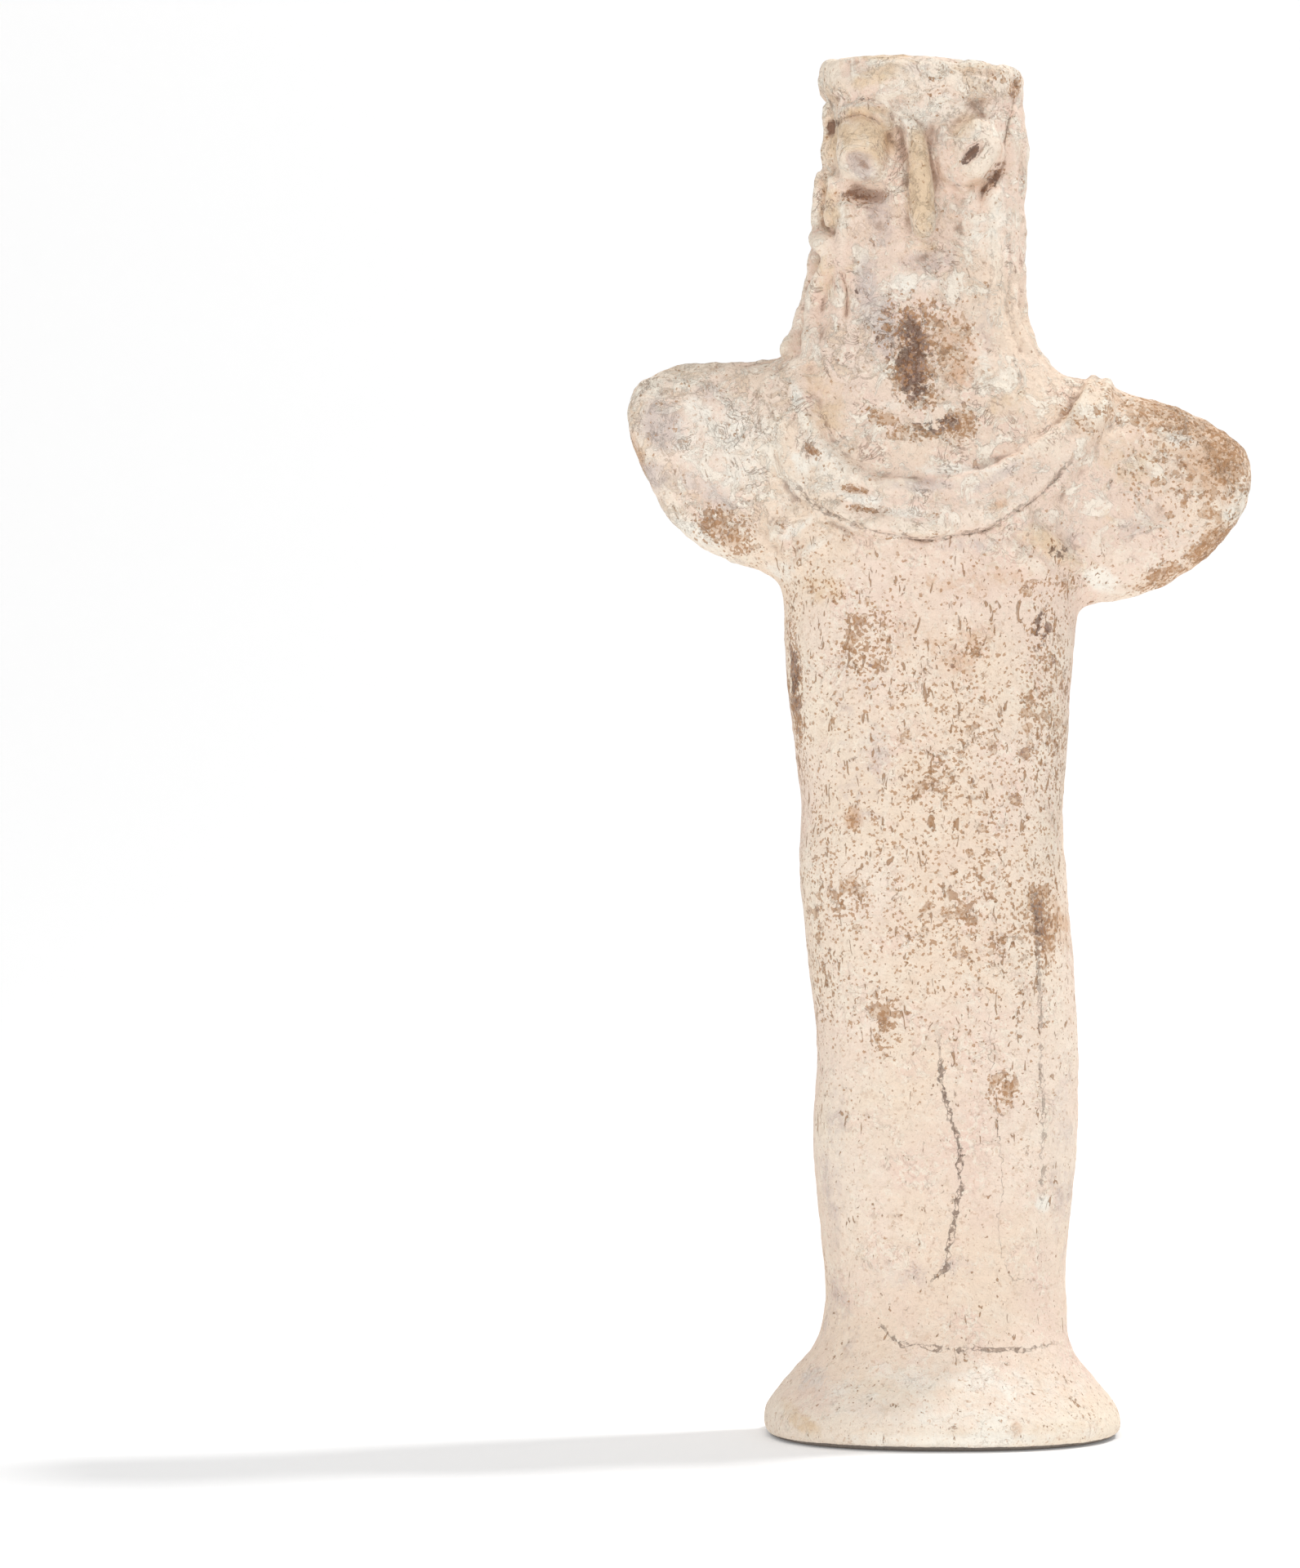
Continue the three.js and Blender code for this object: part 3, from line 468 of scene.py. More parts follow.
def shell(grid):
    """Points and faces of a closed form from its rings. The first and last ring are single points."""
    rows, sides = grid.shape[:2]
    points = np.vstack([grid[0, :1], grid[1:-1].reshape(-1, 3), grid[-1, :1]])
    last = len(points) - 1
    ring = np.arange(sides)
    following = (ring + 1) % sides
    faces = [(0, 1 + b, 1 + a) for a, b in zip(ring, following)]
    for row in range(rows - 3):
        low = 1 + row * sides
        faces += [(low + a, low + b, low + sides + b, low + sides + a) for a, b in zip(ring, following)]
    top = last - sides
    faces += [(top + a, top + b, last) for a, b in zip(ring, following)]
    return points, faces


def around_points(middle_x, middle_y, half_width, half_depth, square, angle, z):
    """Points on a section of the body, angle 0 in front and 90 degrees on the right."""
    x = middle_x + half_width * signed_power(np.sin(angle), 2 / square)
    y = middle_y - half_depth * signed_power(np.cos(angle), 2 / square)
    return x, y + np.where(np.cos(angle) > 0, pressed(x, z, FACE_PRESSES), 0)


def body(sides=160):
    """The foot, pillar, neck and head in one sweep."""
    angle = round_angles(sides)
    z, middle_x, middle_y, half_width, half_depth, square = (SECTIONS[:, [column]] for column in range(6))
    x, y = around_points(middle_x, middle_y, half_width, half_depth, square, angle, z)
    near_lip = np.maximum(0, 1 - z / (5 * PERCENT))
    near_crown = np.maximum(0, (z - 96 * PERCENT) / (4 * PERCENT))
    in_front = np.maximum(0, np.cos(angle + 0.15)) ** 6
    to_right = np.maximum(0, (x - middle_x) / half_width)
    z = z + LIP_LIFT * near_lip * in_front - CROWN_DROP * near_crown * to_right
    rings = np.stack([x, y, z], axis=2)
    underside = rings[:1] * (UNDERSIDE_SHARE, UNDERSIDE_SHARE, 0)
    ground = np.zeros_like(underside)
    crown = np.broadcast_to((middle_x[-1, 0], middle_y[-1, 0], HEIGHT), underside.shape)
    return shell(np.concatenate([ground, underside, rings, crown]))


def arm(side, hollow, stations, rows=60, sides=96):
    """One flat arm, with its thumb press."""
    share = np.linspace(0, 1, rows)
    sizes = [
        (out * ARM_SPAN, (top + bottom) * PERCENT, thick * ARM_THICKNESS, (top - bottom) * PERCENT)
        for out, top, bottom, thick in stations
    ]
    out, middle, thick, high = (column[:, None] / 2 for column in smooth_curve(sizes, share).T)
    angle = round_angles(sides)
    z = middle + high * signed_power(np.cos(angle), 2 / ARM_SQUARENESS)
    y = thick * signed_power(np.sin(angle), 2 / ARM_SQUARENESS)
    x = np.broadcast_to(side * out, z.shape)
    y = y + np.where(y < 0, pressed(x, z, [hollow]), 0)
    rings = np.stack([x, y, z], axis=2)
    ends = [np.broadcast_to(rings[end].mean(axis=0), rings[:1].shape) for end in (0, -1)]
    return shell(np.concatenate([ends[0], rings, ends[1]]))


def nose(rows=40, sides=40):
    """The pinched ridge of the nose, which grows towards its tip."""
    ridge = []
    for x, z, rise in NOSE_LINE:
        place = on_front(x, z)
        ridge.append((place.x, place.y - NOSE_PROJECTION * rise * NOSE_LIFT_SHARE, place.z))
    even = np.linspace(0, 1, rows + 1)
    along = even - CROWDING * np.sin(even * TAU) / TAU
    middle = smooth_curve(ridge, along)[:, None, :]
    bulk = np.sqrt(1 - np.abs(2 * along - 1) ** 14) * (NOSE_ROOT_SHARE + (1 - NOSE_ROOT_SHARE) * along)
    angle = round_angles(sides)
    across = NOSE_WIDTH / 2 * bulk[:, None] * np.sin(angle)
    out = NOSE_PROJECTION * NOSE_BULK_SHARE * bulk[:, None] * np.cos(angle)
    return shell(middle + np.stack([across, -out, np.zeros_like(out)], axis=2))


def pellet(middle, half_long, half_wide, half_thick, degrees, rows=30, sides=40):
    """An ellipsoid of clay turned in the plane of the front."""
    turn = math.radians(degrees)
    down = np.linspace(0, math.pi, rows + 1)[:, None]
    angle = round_angles(sides)
    long = half_long * np.sin(down) * np.cos(angle)
    wide = half_wide * np.sin(down) * np.sin(angle)
    x = long * math.cos(turn) - wide * math.sin(turn)
    z = long * math.sin(turn) + wide * math.cos(turn)
    y = np.broadcast_to(-half_thick * np.cos(down), x.shape)
    return shell(np.stack([x, y, z], axis=2) + np.asarray(middle))


# Rolls of clay, made by geometry nodes along paths on the body

def roll_tree():
    """A tree that lays a roll of clay along a path. Its section is an ellipse, sunk into the body by a
    share of its thickness. Strands make it a twisted cord, and knots are swellings along it."""
    tree = bpy.data.node_groups.new("Clay roll along a path", "GeometryNodeTree")
    sizes = [
        ("Width", 0.004), ("Thickness", 0.004), ("Sunk", 0.2), ("Bluntness", 8.0), ("Knots", 0.0),
        ("Strands", 1.0), ("Strand depth", 0.0), ("Turns", 0.0), ("Wander", 0.0), ("Unevenness", 0.0),
        ("Squareness", 2.0), ("Taper", 0.0), ("Seed", 0.0),
    ]

    def socket(name, kind, in_out="INPUT"):
        return tree.interface.new_socket(name, in_out=in_out, socket_type="NodeSocket" + kind)

    socket("Path", "Geometry")
    for name, value in sizes:
        socket(name, "Float").default_value = value
    socket("Clay", "Material")
    socket("Roll", "Geometry", "OUTPUT")
    graph = Graph(tree)
    given = graph.add("NodeGroupInput")

    ball = graph.add("GeometryNodeMeshUVSphere", {"Segments": 28, "Rings": 90, "Radius": 1.0})["Mesh"]
    place = graph.add("ShaderNodeSeparateXYZ", [graph.add("GeometryNodeInputPosition")["Position"]])
    even = (place["Z"] * -1).math("ARCCOSINE") / math.pi
    along = even - (even * TAU).math("SINE") * (CROWDING / TAU)
    angle = place["Y"].math("ARCTAN2", place["X"])

    path = graph.add("GeometryNodeMeshToCurve", {"Mesh": given["Path"]})["Curve"]
    facing = graph.add("GeometryNodeInputNamedAttribute", {"Name": "outward"}, data_type="FLOAT_VECTOR")
    values = {"Curves": path, "Value": facing["Attribute"], "Factor": along}
    modes = {"data_type": "FLOAT_VECTOR", "mode": "FACTOR", "use_all_curves": True}
    sample = graph.add("GeometryNodeSampleCurve", values, **modes)
    tangent = sample["Tangent"]
    side = graph.vector("NORMALIZE", graph.vector("CROSS_PRODUCT", tangent, sample["Value"]))
    outward = graph.vector("CROSS_PRODUCT", side, tangent)

    values = {"Vector": sample["Position"], "W": given["Seed"] * 7.3, "Scale": 130.0, "Detail": 1.0}
    noise = graph.add("ShaderNodeTexNoise", values, noise_dimensions="4D")
    ending = (abs(even * 2 - 1) ** given["Bluntness"]).math("MINIMUM", 1)
    swell = (1 - ending).math("SQRT")
    knot = 1 + KNOT_SWELL_SHARE * (along * given["Knots"] * TAU).math("SINE")
    uneven = 1 + given["Unevenness"] * (noise[next(iter(noise))] - 0.5)
    lobes = abs(((angle + along * given["Turns"] * TAU) * given["Strands"] / 2).math("COSINE"))
    strand = 1 - given["Strand depth"] * (1 - lobes)
    thinning = given["Taper"] * along * along
    bulk = swell * knot * uneven * strand * (1 - thinning * 0.5)
    power = 2 / given["Squareness"]
    out, over = (
        way.math("SIGN") * abs(way) ** power for way in (angle.math("COSINE"), angle.math("SINE"))
    )
    rise = (0.5 - given["Sunk"] - thinning) * given["Thickness"] / 2 + given["Thickness"] / 2 * bulk * out
    spread = given["Width"] / 2 * bulk * over
    position = sample["Position"]
    wandering = graph.vector("SUBTRACT", noise["Color"], (0.5, 0.5, 0.5))
    for direction, amount in [(wandering, given["Wander"]), (outward, rise), (side, spread)]:
        position = graph.vector("ADD", position, graph.vector("SCALE", direction, amount))

    laid = graph.add("GeometryNodeSetPosition", {"Geometry": ball, "Position": position})["Geometry"]
    whole = graph.add("GeometryNodeRealizeInstances", {"Geometry": laid})["Geometry"]
    finished = graph.add("GeometryNodeSetMaterial", {"Geometry": whole, "Material": given["Clay"]})
    graph.add("NodeGroupOutput", {"Roll": finished["Geometry"]})
    return tree


def applied(piece):
    """A plain mesh of an object with its modifiers applied, in place of the object."""
    graph = bpy.context.evaluated_depsgraph_get()
    mesh = bpy.data.meshes.new_from_object(piece.evaluated_get(graph), depsgraph=graph)
    bpy.data.objects.remove(piece)
    return mesh


def link(name, mesh):
    piece = bpy.data.objects.new(name, mesh)
    bpy.context.scene.collection.objects.link(piece)
    return piece


def arrays_of(mesh):
    """A mesh's points as an array and its faces as a list."""
    points = np.empty(len(mesh.vertices) * 3, np.float32)
    mesh.vertices.foreach_get("co", points)
    return points.reshape(-1, 3).astype(float), [tuple(face.vertices) for face in mesh.polygons]


def roll(points, width, thick, **inputs):
    """A roll of clay along a smooth curve through points on the body."""
    line = smooth_curve(points, np.linspace(0, 1, 60))
    mesh = bpy.data.meshes.new("roll")
    mesh.from_pydata(line.tolist(), [(i, i + 1) for i in range(len(line) - 1)], [])
    axis = np.stack(section_at(line[:, 2])[:2], axis=1)
    outward = np.column_stack([line[:, :2] - axis, np.zeros(len(line))])
    mesh.attributes.new("outward", "FLOAT_VECTOR", "POINT").data.foreach_set("vector", outward.ravel())
    piece = link("roll", mesh)
    modifier = piece.modifiers.new("Clay roll", "NODES")
    modifier.node_group = ROLL_TREE
    values = {"Width": width, "Thickness": thick, "Clay": CLAY, **inputs}
    for item in ROLL_TREE.interface.items_tree:
        if item.in_out == "INPUT" and item.name in values:
            modifier[item.identifier] = values[item.name]
    return arrays_of(applied(piece))


def around(degrees, share):
    """A point some way round the body from its front, at a share of the height."""
    z = share * PERCENT
    x, y = around_points(*section_at(z), math.radians(degrees), z)
    return (float(x), float(y), z)


def headband():
    points = [
        around(degrees, BAND_MIDDLE_SHARE - BAND_DROOP_SHARE * math.sin(math.radians(degrees)))
        for degrees in range(-170, 171, 10)
    ]
    loose = {"Unevenness": 0.15, "Wander": 0.5 * MM}
    return roll(points, BAND_HEIGHT, BAND_THICKNESS, Sunk=0.3, Bluntness=30, Squareness=3, **loose)


def lock(number, start, stop, end, wide, thick, knots=0, strands=1, turns=0):
    points = [
        around(start + (stop - start) * down, LOCK_TOP_SHARE + (end - LOCK_TOP_SHARE) * down)
        for down in np.linspace(0, 1, 9).tolist()
    ]
    twist = {"Knots": knots, "Strands": strands, "Turns": turns}
    depth, wander, uneven = (0.3, 1.4, 0.7) if strands > 1 else (0.0, 0.7, 0.35)
    loose = {"Strand depth": depth, "Wander": wander * MM, "Unevenness": uneven}
    ending = {"Sunk": 0.3, "Bluntness": 8, "Taper": 0.9, "Seed": number}
    return roll(points, LOCK_WIDTH * wide, LOCK_WIDTH * thick, **ending, **twist, **loose)


def back_lock(number, degrees):
    points = [around(degrees, share) for share in BACK_LOCK_HEIGHTS]
    loose = {"Wander": 1 * MM, "Unevenness": 0.4, "Bluntness": 5, "Taper": 0.8}
    return roll(points, BACK_LOCK_WIDTH, LOCK_WIDTH * 0.9, Seed=20 + number, **loose)


def front_rolls(seed, lines, **inputs):
    """A roll of clay on the front along each line, which comes with the roll's width and thickness."""
    return [
        roll([tuple(on_front(x, z)) for x, z in line], width, thick, Seed=seed + number, **inputs)
        for number, (width, thick, line) in enumerate(lines)
    ]


# Working the joined clay

def joined(forms):
    """One mesh of several closed forms."""
    points = []
    faces = []
    start = 0
    for form_points, form_faces in forms:
        points.append(form_points)
        faces += [tuple(int(corner) + start for corner in face) for face in form_faces]
        start += len(form_points)
    mesh = bpy.data.meshes.new("clay")
    mesh.from_pydata(np.vstack(points).tolist(), [], faces)
    return mesh


def remeshed(mesh, voxel):
    """A mesh's closed forms as one skin."""
    piece = link("clay", mesh)
    modifier = piece.modifiers.new("One skin", "REMESH")
    modifier.mode = "VOXEL"
    modifier.voxel_size = voxel
    return applied(piece)


class Skin:
    """The joined clay as arrays, for smoothing and for working its surface."""

    def __init__(self, mesh):
        self.mesh = mesh
        self.points = arrays_of(mesh)[0]
        edges = np.empty(len(mesh.edges) * 2, np.int32)
        mesh.edges.foreach_get("vertices", edges)
        self.starts, self.ends = edges.reshape(-1, 2).T
        self.neighbours = np.bincount(edges, minlength=len(self.points))[:, None]

    def averaged(self, values):
        """Each point's value as the mean of its neighbours'."""
        total = np.zeros_like(values)
        for column in range(values.shape[1]):
            sums = np.bincount(self.starts, values[self.ends, column], len(values))
            total[:, column] = sums + np.bincount(self.ends, values[self.starts, column], len(values))
        return total / self.neighbours

    def smooth(self, times, share=1.0):
        """Smooths the skin, all over or by each point's share."""
        for _ in range(times):
            self.points += (self.averaged(self.points) - self.points) * 0.5 * np.reshape(share, (-1, 1))
        self.write()

    def write(self):
        self.mesh.vertices.foreach_set("co", self.points.astype(np.float32).ravel())
        self.mesh.update()

    def normals(self):
        flat = np.empty(len(self.points) * 3, np.float32)
        self.mesh.vertices.foreach_get("normal", flat)
        return flat.reshape(-1, 3).astype(float)

    def push(self, distance):
        """Moves each point along its normal."""
        self.points += self.normals() * distance[:, None]
        self.write()


def lattice_noise(points, size, seed):
    """Smooth noise between -1 and 1 whose features are about a size across."""
    table = np.random.default_rng(seed).uniform(-1, 1, (32, 32, 32))
    place = points / size
    low = np.floor(place).astype(int)
    part = place - low
    part = part * part * (3 - 2 * part)
    total = np.zeros(len(points))
    for corner in range(8):
        step = np.array([corner & 1, corner >> 1 & 1, corner >> 2 & 1])
        weight = np.prod(np.where(step, part, 1 - part), axis=1)
        total += weight * table[tuple(((low + step) % 32).T)]
    return total


def smoothstep(low, high, value):
    share = np.clip((value - low) / (high - low), 0, 1)
    return share * share * (3 - 2 * share)


def line_distance(x, z, line):
    """Distance of places on the front from a line drawn there, in hundredths of the height, with its
    sign, and how far along the line the nearest part is."""
    best = np.full(len(x), 1e9)
    side = np.ones(len(x))
    along = np.zeros(len(x))
    count = len(line) - 1
    for number, ((ax, az), (bx, bz)) in enumerate(zip(line, line[1:])):
        dx = bx - ax
        dz = bz - az
        share = np.clip(((x - ax) * dx + (z - az) * dz) / (dx * dx + dz * dz), 0, 1)
        away = np.hypot(x - ax - share * dx, z - az - share * dz)
        nearer = away < best
        best = np.where(nearer, away, best)
        side = np.where(nearer, np.sign((x - ax) * dz - (z - az) * dx), side)
        along = np.where(nearer, (number + share) / count, along)
    return best * side, along


def fading(along, share):
    """1 along a line, falling to 0 over a share of it at each end."""
    return smoothstep(0, share, along) * smoothstep(1, 1 - share, along)


# The clay, first as body and arms with their joints smoothed over, then with all that is pressed on

CLAY = bpy.data.materials.new("terracotta")
ROLL_TREE = roll_tree()

core = Skin(remeshed(joined([body(), *(arm(*values) for values in ARMS)]), CORE_VOXEL))
across = np.abs(core.points[:, 0]) / PERCENT
up = core.points[:, 2] / PERCENT
near_joint = smoothstep(8.5, 11, across) * smoothstep(19, 13, across)
near_joint = near_joint * smoothstep(57, 60.5, up) * smoothstep(81, 78, up)
on_shoulders = smoothstep(73, 76, up) * smoothstep(84.5, 80.5, up) * smoothstep(19, 13, across)
core.smooth(JOINT_SMOOTHINGS, np.maximum(near_joint, on_shoulders))
core.smooth(2)
core_faces = arrays_of(core.mesh)[1]
front_rays = BVHTree.FromPolygons(core.points.tolist(), core_faces)


def on_front(x, z):
    """The front of the body or an arm at a place, or the nearest edge to a place beyond them."""
    start = Vector((x * PERCENT, CAD_BOX[0].y * 2, z * PERCENT))
    beyond = Vector((x * PERCENT, 0, z * PERCENT))
    return front_rays.ray_cast(start, Vector((0, 1, 0)))[0] or front_rays.find_nearest(beyond)[0]


forms = [(core.points, core_faces), headband(), nose()]
for eye, *_ in EYES:
    forms.append(pellet(on_front(*eye), EYE_HEIGHT / 2, EYE_WIDTH / 2, EYE_PROJECTION, 90))
brows = [(BROW_WIDTH, BROW_WIDTH * 1.3, line) for line in BROWS]
forms += front_rolls(40, brows, Sunk=-0.1, Unevenness=0.3)
forms += [lock(number, *values) for number, values in enumerate(LOCKS)]
forms += [back_lock(number, degrees) for number, degrees in enumerate(BACK_LOCKS)]
collar = [(COLLAR_ROLL * wide, COLLAR_ROLL * thick, line) for wide, thick, line in COLLAR]
forms += front_rolls(60, collar, Sunk=0.15, Bluntness=6, Wander=0.8 * MM, Unevenness=0.5, Squareness=2.3)
fingers = [(FINGER_WIDTH * share * 1.3, FINGER_WIDTH * share * 0.8, line) for share, line in FINGERS]
forms += front_rolls(80, fingers, Sunk=0.5, Bluntness=3, Unevenness=0.3)
strands = [(width, width * 1.2, line) for width, line in STRANDS]
forms += front_rolls(100, strands, Sunk=-0.3, Bluntness=5, Wander=0.5 * MM, Unevenness=0.8)
forms += [pellet(on_front(x, z), *sizes) for x, z, *sizes in LUMPS]

skin = Skin(remeshed(joined(forms), SKIN_VOXEL))
skin.smooth(4)

# Pupils pressed into the eyes
for eye, (off_x, off_z), half_long, half_wide, degrees in EYES:
    middle = on_front(*eye)
    dx = skin.points[:, 0] - middle.x - off_x * PERCENT
    dz = skin.points[:, 2] - middle.z - off_z * PERCENT
    along, across = turned(dx, dz, half_long, half_wide, degrees)
    inside = np.clip(1 - along ** 2 - across ** 2, 0, None)
    floor = middle.y - EYE_PROJECTION * (PUPIL_RIM_SHARE - PUPIL_DEPTH_SHARE * np.sqrt(inside))
    deep = (inside > 0) & (skin.points[:, 1] < floor) & (skin.points[:, 1] < middle.y + 2 * MM)
    skin.points[:, 1] = np.where(deep, floor, skin.points[:, 1])
skin.write()
skin.smooth(1)

# Strokes and dents worked into the front
x_share, _, z_share = skin.points.T / PERCENT
relief = np.zeros(len(skin.points))
for height, half_width, line in STROKES:
    away, along = line_distance(x_share, z_share, line)
    rise = height * MM * (0.25 + 0.75 * fading(along, 0.12))
    relief += rise * np.exp(-((away * PERCENT / (half_width * MM)) ** 2))
relief -= pressed(skin.points[:, 0], skin.points[:, 2], DENTS)
relief *= smoothstep(0.1, 0.45, -skin.normals()[:, 1])
skin.points[:, 1] -= relief
skin.write()
skin.smooth(1)

# An uneven surface, crumpled from the chest up and streaked on the neck and head
chest_up = smoothstep(58, 66, z_share)
worn = 0.7 + 0.8 * chest_up
uneven = np.zeros(len(skin.points))
waves = [(25, 0.35, 1), (7, 0.2, 1), (2.4, 0.15, worn), (1.2, 0.1, worn)]
for number, (size, depth, share) in enumerate(waves):
    uneven += lattice_noise(skin.points, size * MM, 1 + number) * depth * MM * share
folded = lattice_noise(skin.points, 2.2 * MM, 6) + lattice_noise(skin.points, 1.1 * MM, 7) * 0.5
uneven += (1 - 2 * np.abs(folded)) * 0.09 * MM * chest_up
streaks = lattice_noise(skin.points * (1, 1, 0.12), 1.1 * MM, 5) * 0.12 * MM
uneven += streaks * smoothstep(76, 80, z_share)
above_ground = smoothstep(0.2, 1.2, skin.points[:, 2] / PERCENT)
skin.push(uneven * above_ground)

idol = link("idol_clay", skin.mesh)
triangles = len(skin.mesh.polygons) * 2
if triangles > MOST_TRIANGLES:
    thin = idol.modifiers.new("Fewer faces", "DECIMATE")
    thin.ratio = MOST_TRIANGLES / triangles
    idol = link("idol_clay", applied(idol))
idol.data.materials.clear()
idol.data.materials.append(CLAY)
idol.data.shade_smooth()

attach(idol, "root")
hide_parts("idol")


# The stains, cracks and hollows as attributes of the skin, with masks for painted shade and highlights

worked = Skin(idol.data)
x_share, _, z_share = worked.points.T / PERCENT
facing = smoothstep(-0.1, 0.3, -worked.normals()[:, 1])


def keep(name, values):
    idol.data.attributes.new(name, "FLOAT", "POINT").data.foreach_set("value", values.astype(np.float32))


def evened(points, times):
    for _ in range(times):
        points = points + (worked.averaged(points) - points) * 0.7
    return points


def hollow(first, times, scale):
    """How far each point lies below its surroundings, from -1 on a crest to 1 in a hollow, once the
    grain of the clay is evened out."""
    near = evened(worked.points, first)
    depth = ((evened(near, times) - near) * worked.normals()).sum(axis=1)
    return np.clip(depth / scale, -1, 1)


# Hollows take painted shade in the material, and crests a painted highlight
keep("fine_hollow", hollow(4, 14, 0.3 * MM))
keep("broad_hollow", hollow(14, 60, 0.8 * MM))
for number, (name, stains) in enumerate(STAINS.items()):
    mask = np.zeros(len(x_share))
    for middle_x, middle_z, reach_x, reach_z, strength, *degrees in stains:
        places = turned(x_share - middle_x, z_share - middle_z, reach_x, reach_z, sum(degrees))
        mask = np.maximum(mask, strength * smoothstep(1.25, 0.35, np.hypot(*places)))
    most = 0.55 if name == "brown_crust_and_shade" else 0.32
    elsewhere = smoothstep(0.1, 0.8, lattice_noise(worked.points, 13 * MM, 30 + number)) * most
    keep(name, mask * facing + elsewhere * (1 - facing))
crack_side = np.full(len(x_share), 9.0)
crack_strength = np.zeros(len(x_share))
for strength, line in CRACKS:
    away, along = line_distance(x_share, z_share, line)
    nearer = np.abs(away) < np.abs(crack_side)
    crack_side = np.where(nearer, away, crack_side)
    crack_strength = np.where(nearer, fading(along, 0.1) * strength, crack_strength)
patchy = lattice_noise(worked.points, 9 * MM, 50) * 0.25
speckled = smoothstep(20, 34, z_share) * (0.45 + 0.55 * smoothstep(68, 58, z_share))
keep("speckled", speckled * (1 + patchy) + 0.06)
keep("upper", smoothstep(62, 68, z_share))
# Where the foot's lip turns down, for painted shade under it
keep("under_lip", smoothstep(-0.45, -0.8, worked.normals()[:, 2]) * smoothstep(3, 1.5, z_share))
keep("crack_side", np.clip(crack_side, -2, 2))
keep("crack_strength", crack_strength * facing)


# Terracotta

def colour(red, green, blue):
    """A colour for a socket, from the numbers that a colour picker shows."""
    shown = np.array([red, green, blue]) / 255
    light = np.where(shown <= 0.04045, shown / 12.92, ((shown + 0.055) / 1.055) ** 2.4)
    return (*light.tolist(), 1)


def terracotta():
    """Pale fired clay, pinkish and cream, with ochre and orange tints, umber crust in flakes, specks and
    cracks, painted purplish-grey shade in its hollows, creases and under the foot's lip, and painted cream
    highlights on its crests."""
    CLAY.use_nodes = True
    CLAY.node_tree.nodes.clear()
    graph = Graph(CLAY.node_tree)
    place = graph.add("ShaderNodeTexCoord")["Object"]

    def mask(name):
        return graph.add("ShaderNodeAttribute", attribute_name=name)["Fac"]

    def noise(size, detail=2.0, roughness=0.55, distortion=0.0, stretch=(1, 1, 1), seed=0.0):
        """Noise from 0 to 1 with features of a size in millimetres."""
        shift = (seed, seed * 0.7, seed * 1.3)
        moved = graph.add("ShaderNodeMapping", {"Vector": place, "Scale": stretch, "Location": shift})
        values = {"Detail": detail, "Roughness": roughness, "Distortion": distortion}
        values |= {"Vector": moved["Vector"], "Scale": 0.5 / (size * MM)}
        outputs = graph.add("ShaderNodeTexNoise", values)
        return outputs[next(iter(outputs))]

    def cells(size, seed):
        """A random value from 0 to 1 for each of the ragged cells that the surface is split in."""
        size = size * MM
        bent = graph.add("ShaderNodeTexNoise", {"Vector": place, "Scale": 1.1 / size, "Detail": 2.0})
        moved = graph.vector("ADD", place, graph.vector("SCALE", bent["Color"], size * 0.9))
        shift = (seed, seed * 0.3, seed * 0.6)
        moved = graph.add("ShaderNodeMapping", {"Vector": moved, "Location": shift})["Vector"]
        split = graph.add("ShaderNodeTexVoronoi", {"Vector": moved, "Scale": 1 / size})["Color"]
        return graph.add("ShaderNodeSeparateColor", [split])["Red"]

    def between(value, low, high):
        """0 below low, 1 above high and smooth in between."""
        inputs = {"Value": value, "From Min": low, "From Max": high}
        return graph.add("ShaderNodeMapRange", inputs, interpolation_type="SMOOTHSTEP")["Result"]

    def layered(below, *layers):
        """A colour with others laid over it, each by its share. Plain colours are as a picker has them."""
        for above, share in layers:
            below, above = (colour(*tint) if isinstance(tint, tuple) else tint for tint in (below, above))
            inputs = {"Factor": share, "A": below, "B": above}
            below = graph.add("ShaderNodeMix", inputs, data_type="RGBA", clamp_factor=True)["Result"]
        return below

    broad = mask("broad_hollow")
    fine = mask("fine_hollow")
    patches = noise(9, 4)
    clouds = noise(3, 4, seed=3)
    grain = noise(0.55, 3, 0.65, seed=5)
    crumbs = noise(1, 4, 0.7, 0.6, seed=9)
    dashes = noise(0.5, 2, 0.6, 0.8, (1, 1, 0.35), seed=12)
    islands = noise(1.7, 3, 0.6, 1.2, seed=17)

    clay = layered(
        (242, 218, 201),
        ((247, 226, 209), between(patches, 0.38, 0.62)),
        ((246, 226, 202), between(noise(16, 3, seed=2), 0.45, 0.65) * 0.6),
        ((241, 210, 194), between(clouds, 0.5, 0.66) * 0.5),
        ((253, 243, 226), between(clouds * 0.3 + grain * 0.7, 0.52, 0.6) * 0.7),
        # Painted highlight on the crests
        ((253, 244, 226), between(broad * -1, 0.15, 0.8) * 0.5),
        ((222, 192, 168), between(grain * 0.7 + crumbs * 0.3, 0.54, 0.64) * 0.6),
        # Painted shade in the broad hollows
        ((218, 194, 176), between(broad + (crumbs - 0.5) * 0.9, 0.2, 1.2) * 0.25),
    )

    upper = mask("upper")
    crumbled = between(noise(1.5, 5, 0.75, 0.8, seed=41), 0.5, 0.58) * between(patches, 0.4, 0.55)
    bleached = between(noise(2.2, 5, 0.7, 0.8, seed=43), 0.52, 0.6)
    clay = layered(
        clay,
        ((228, 201, 172), crumbled * (0.12 + upper * 0.34)),
        ((254, 246, 231), bleached * (0.2 + upper * 0.5)),
    )

    # Tints by the masks above: the mauve one is painted shade, and the white one is partly painted
    # highlight
    tints = [
        ("ochre", (232, 203, 168), patches, 0.85),
        ("orange", (219, 176, 139), clouds, 0.8),
        ("mauve_shade", (212, 196, 189), clouds, 0.75),
        ("white", (252, 246, 234), clouds, 0.9),
    ]
    for name, tint, texture, most in tints:
        spread = between(mask(name) + (texture - 0.5) * 1.4 + (crumbs - 0.5) * 1.4, 0.1, 0.95)
        clay = layered(clay, (tint, spread * between(mask(name), 0.02, 0.15) * most))
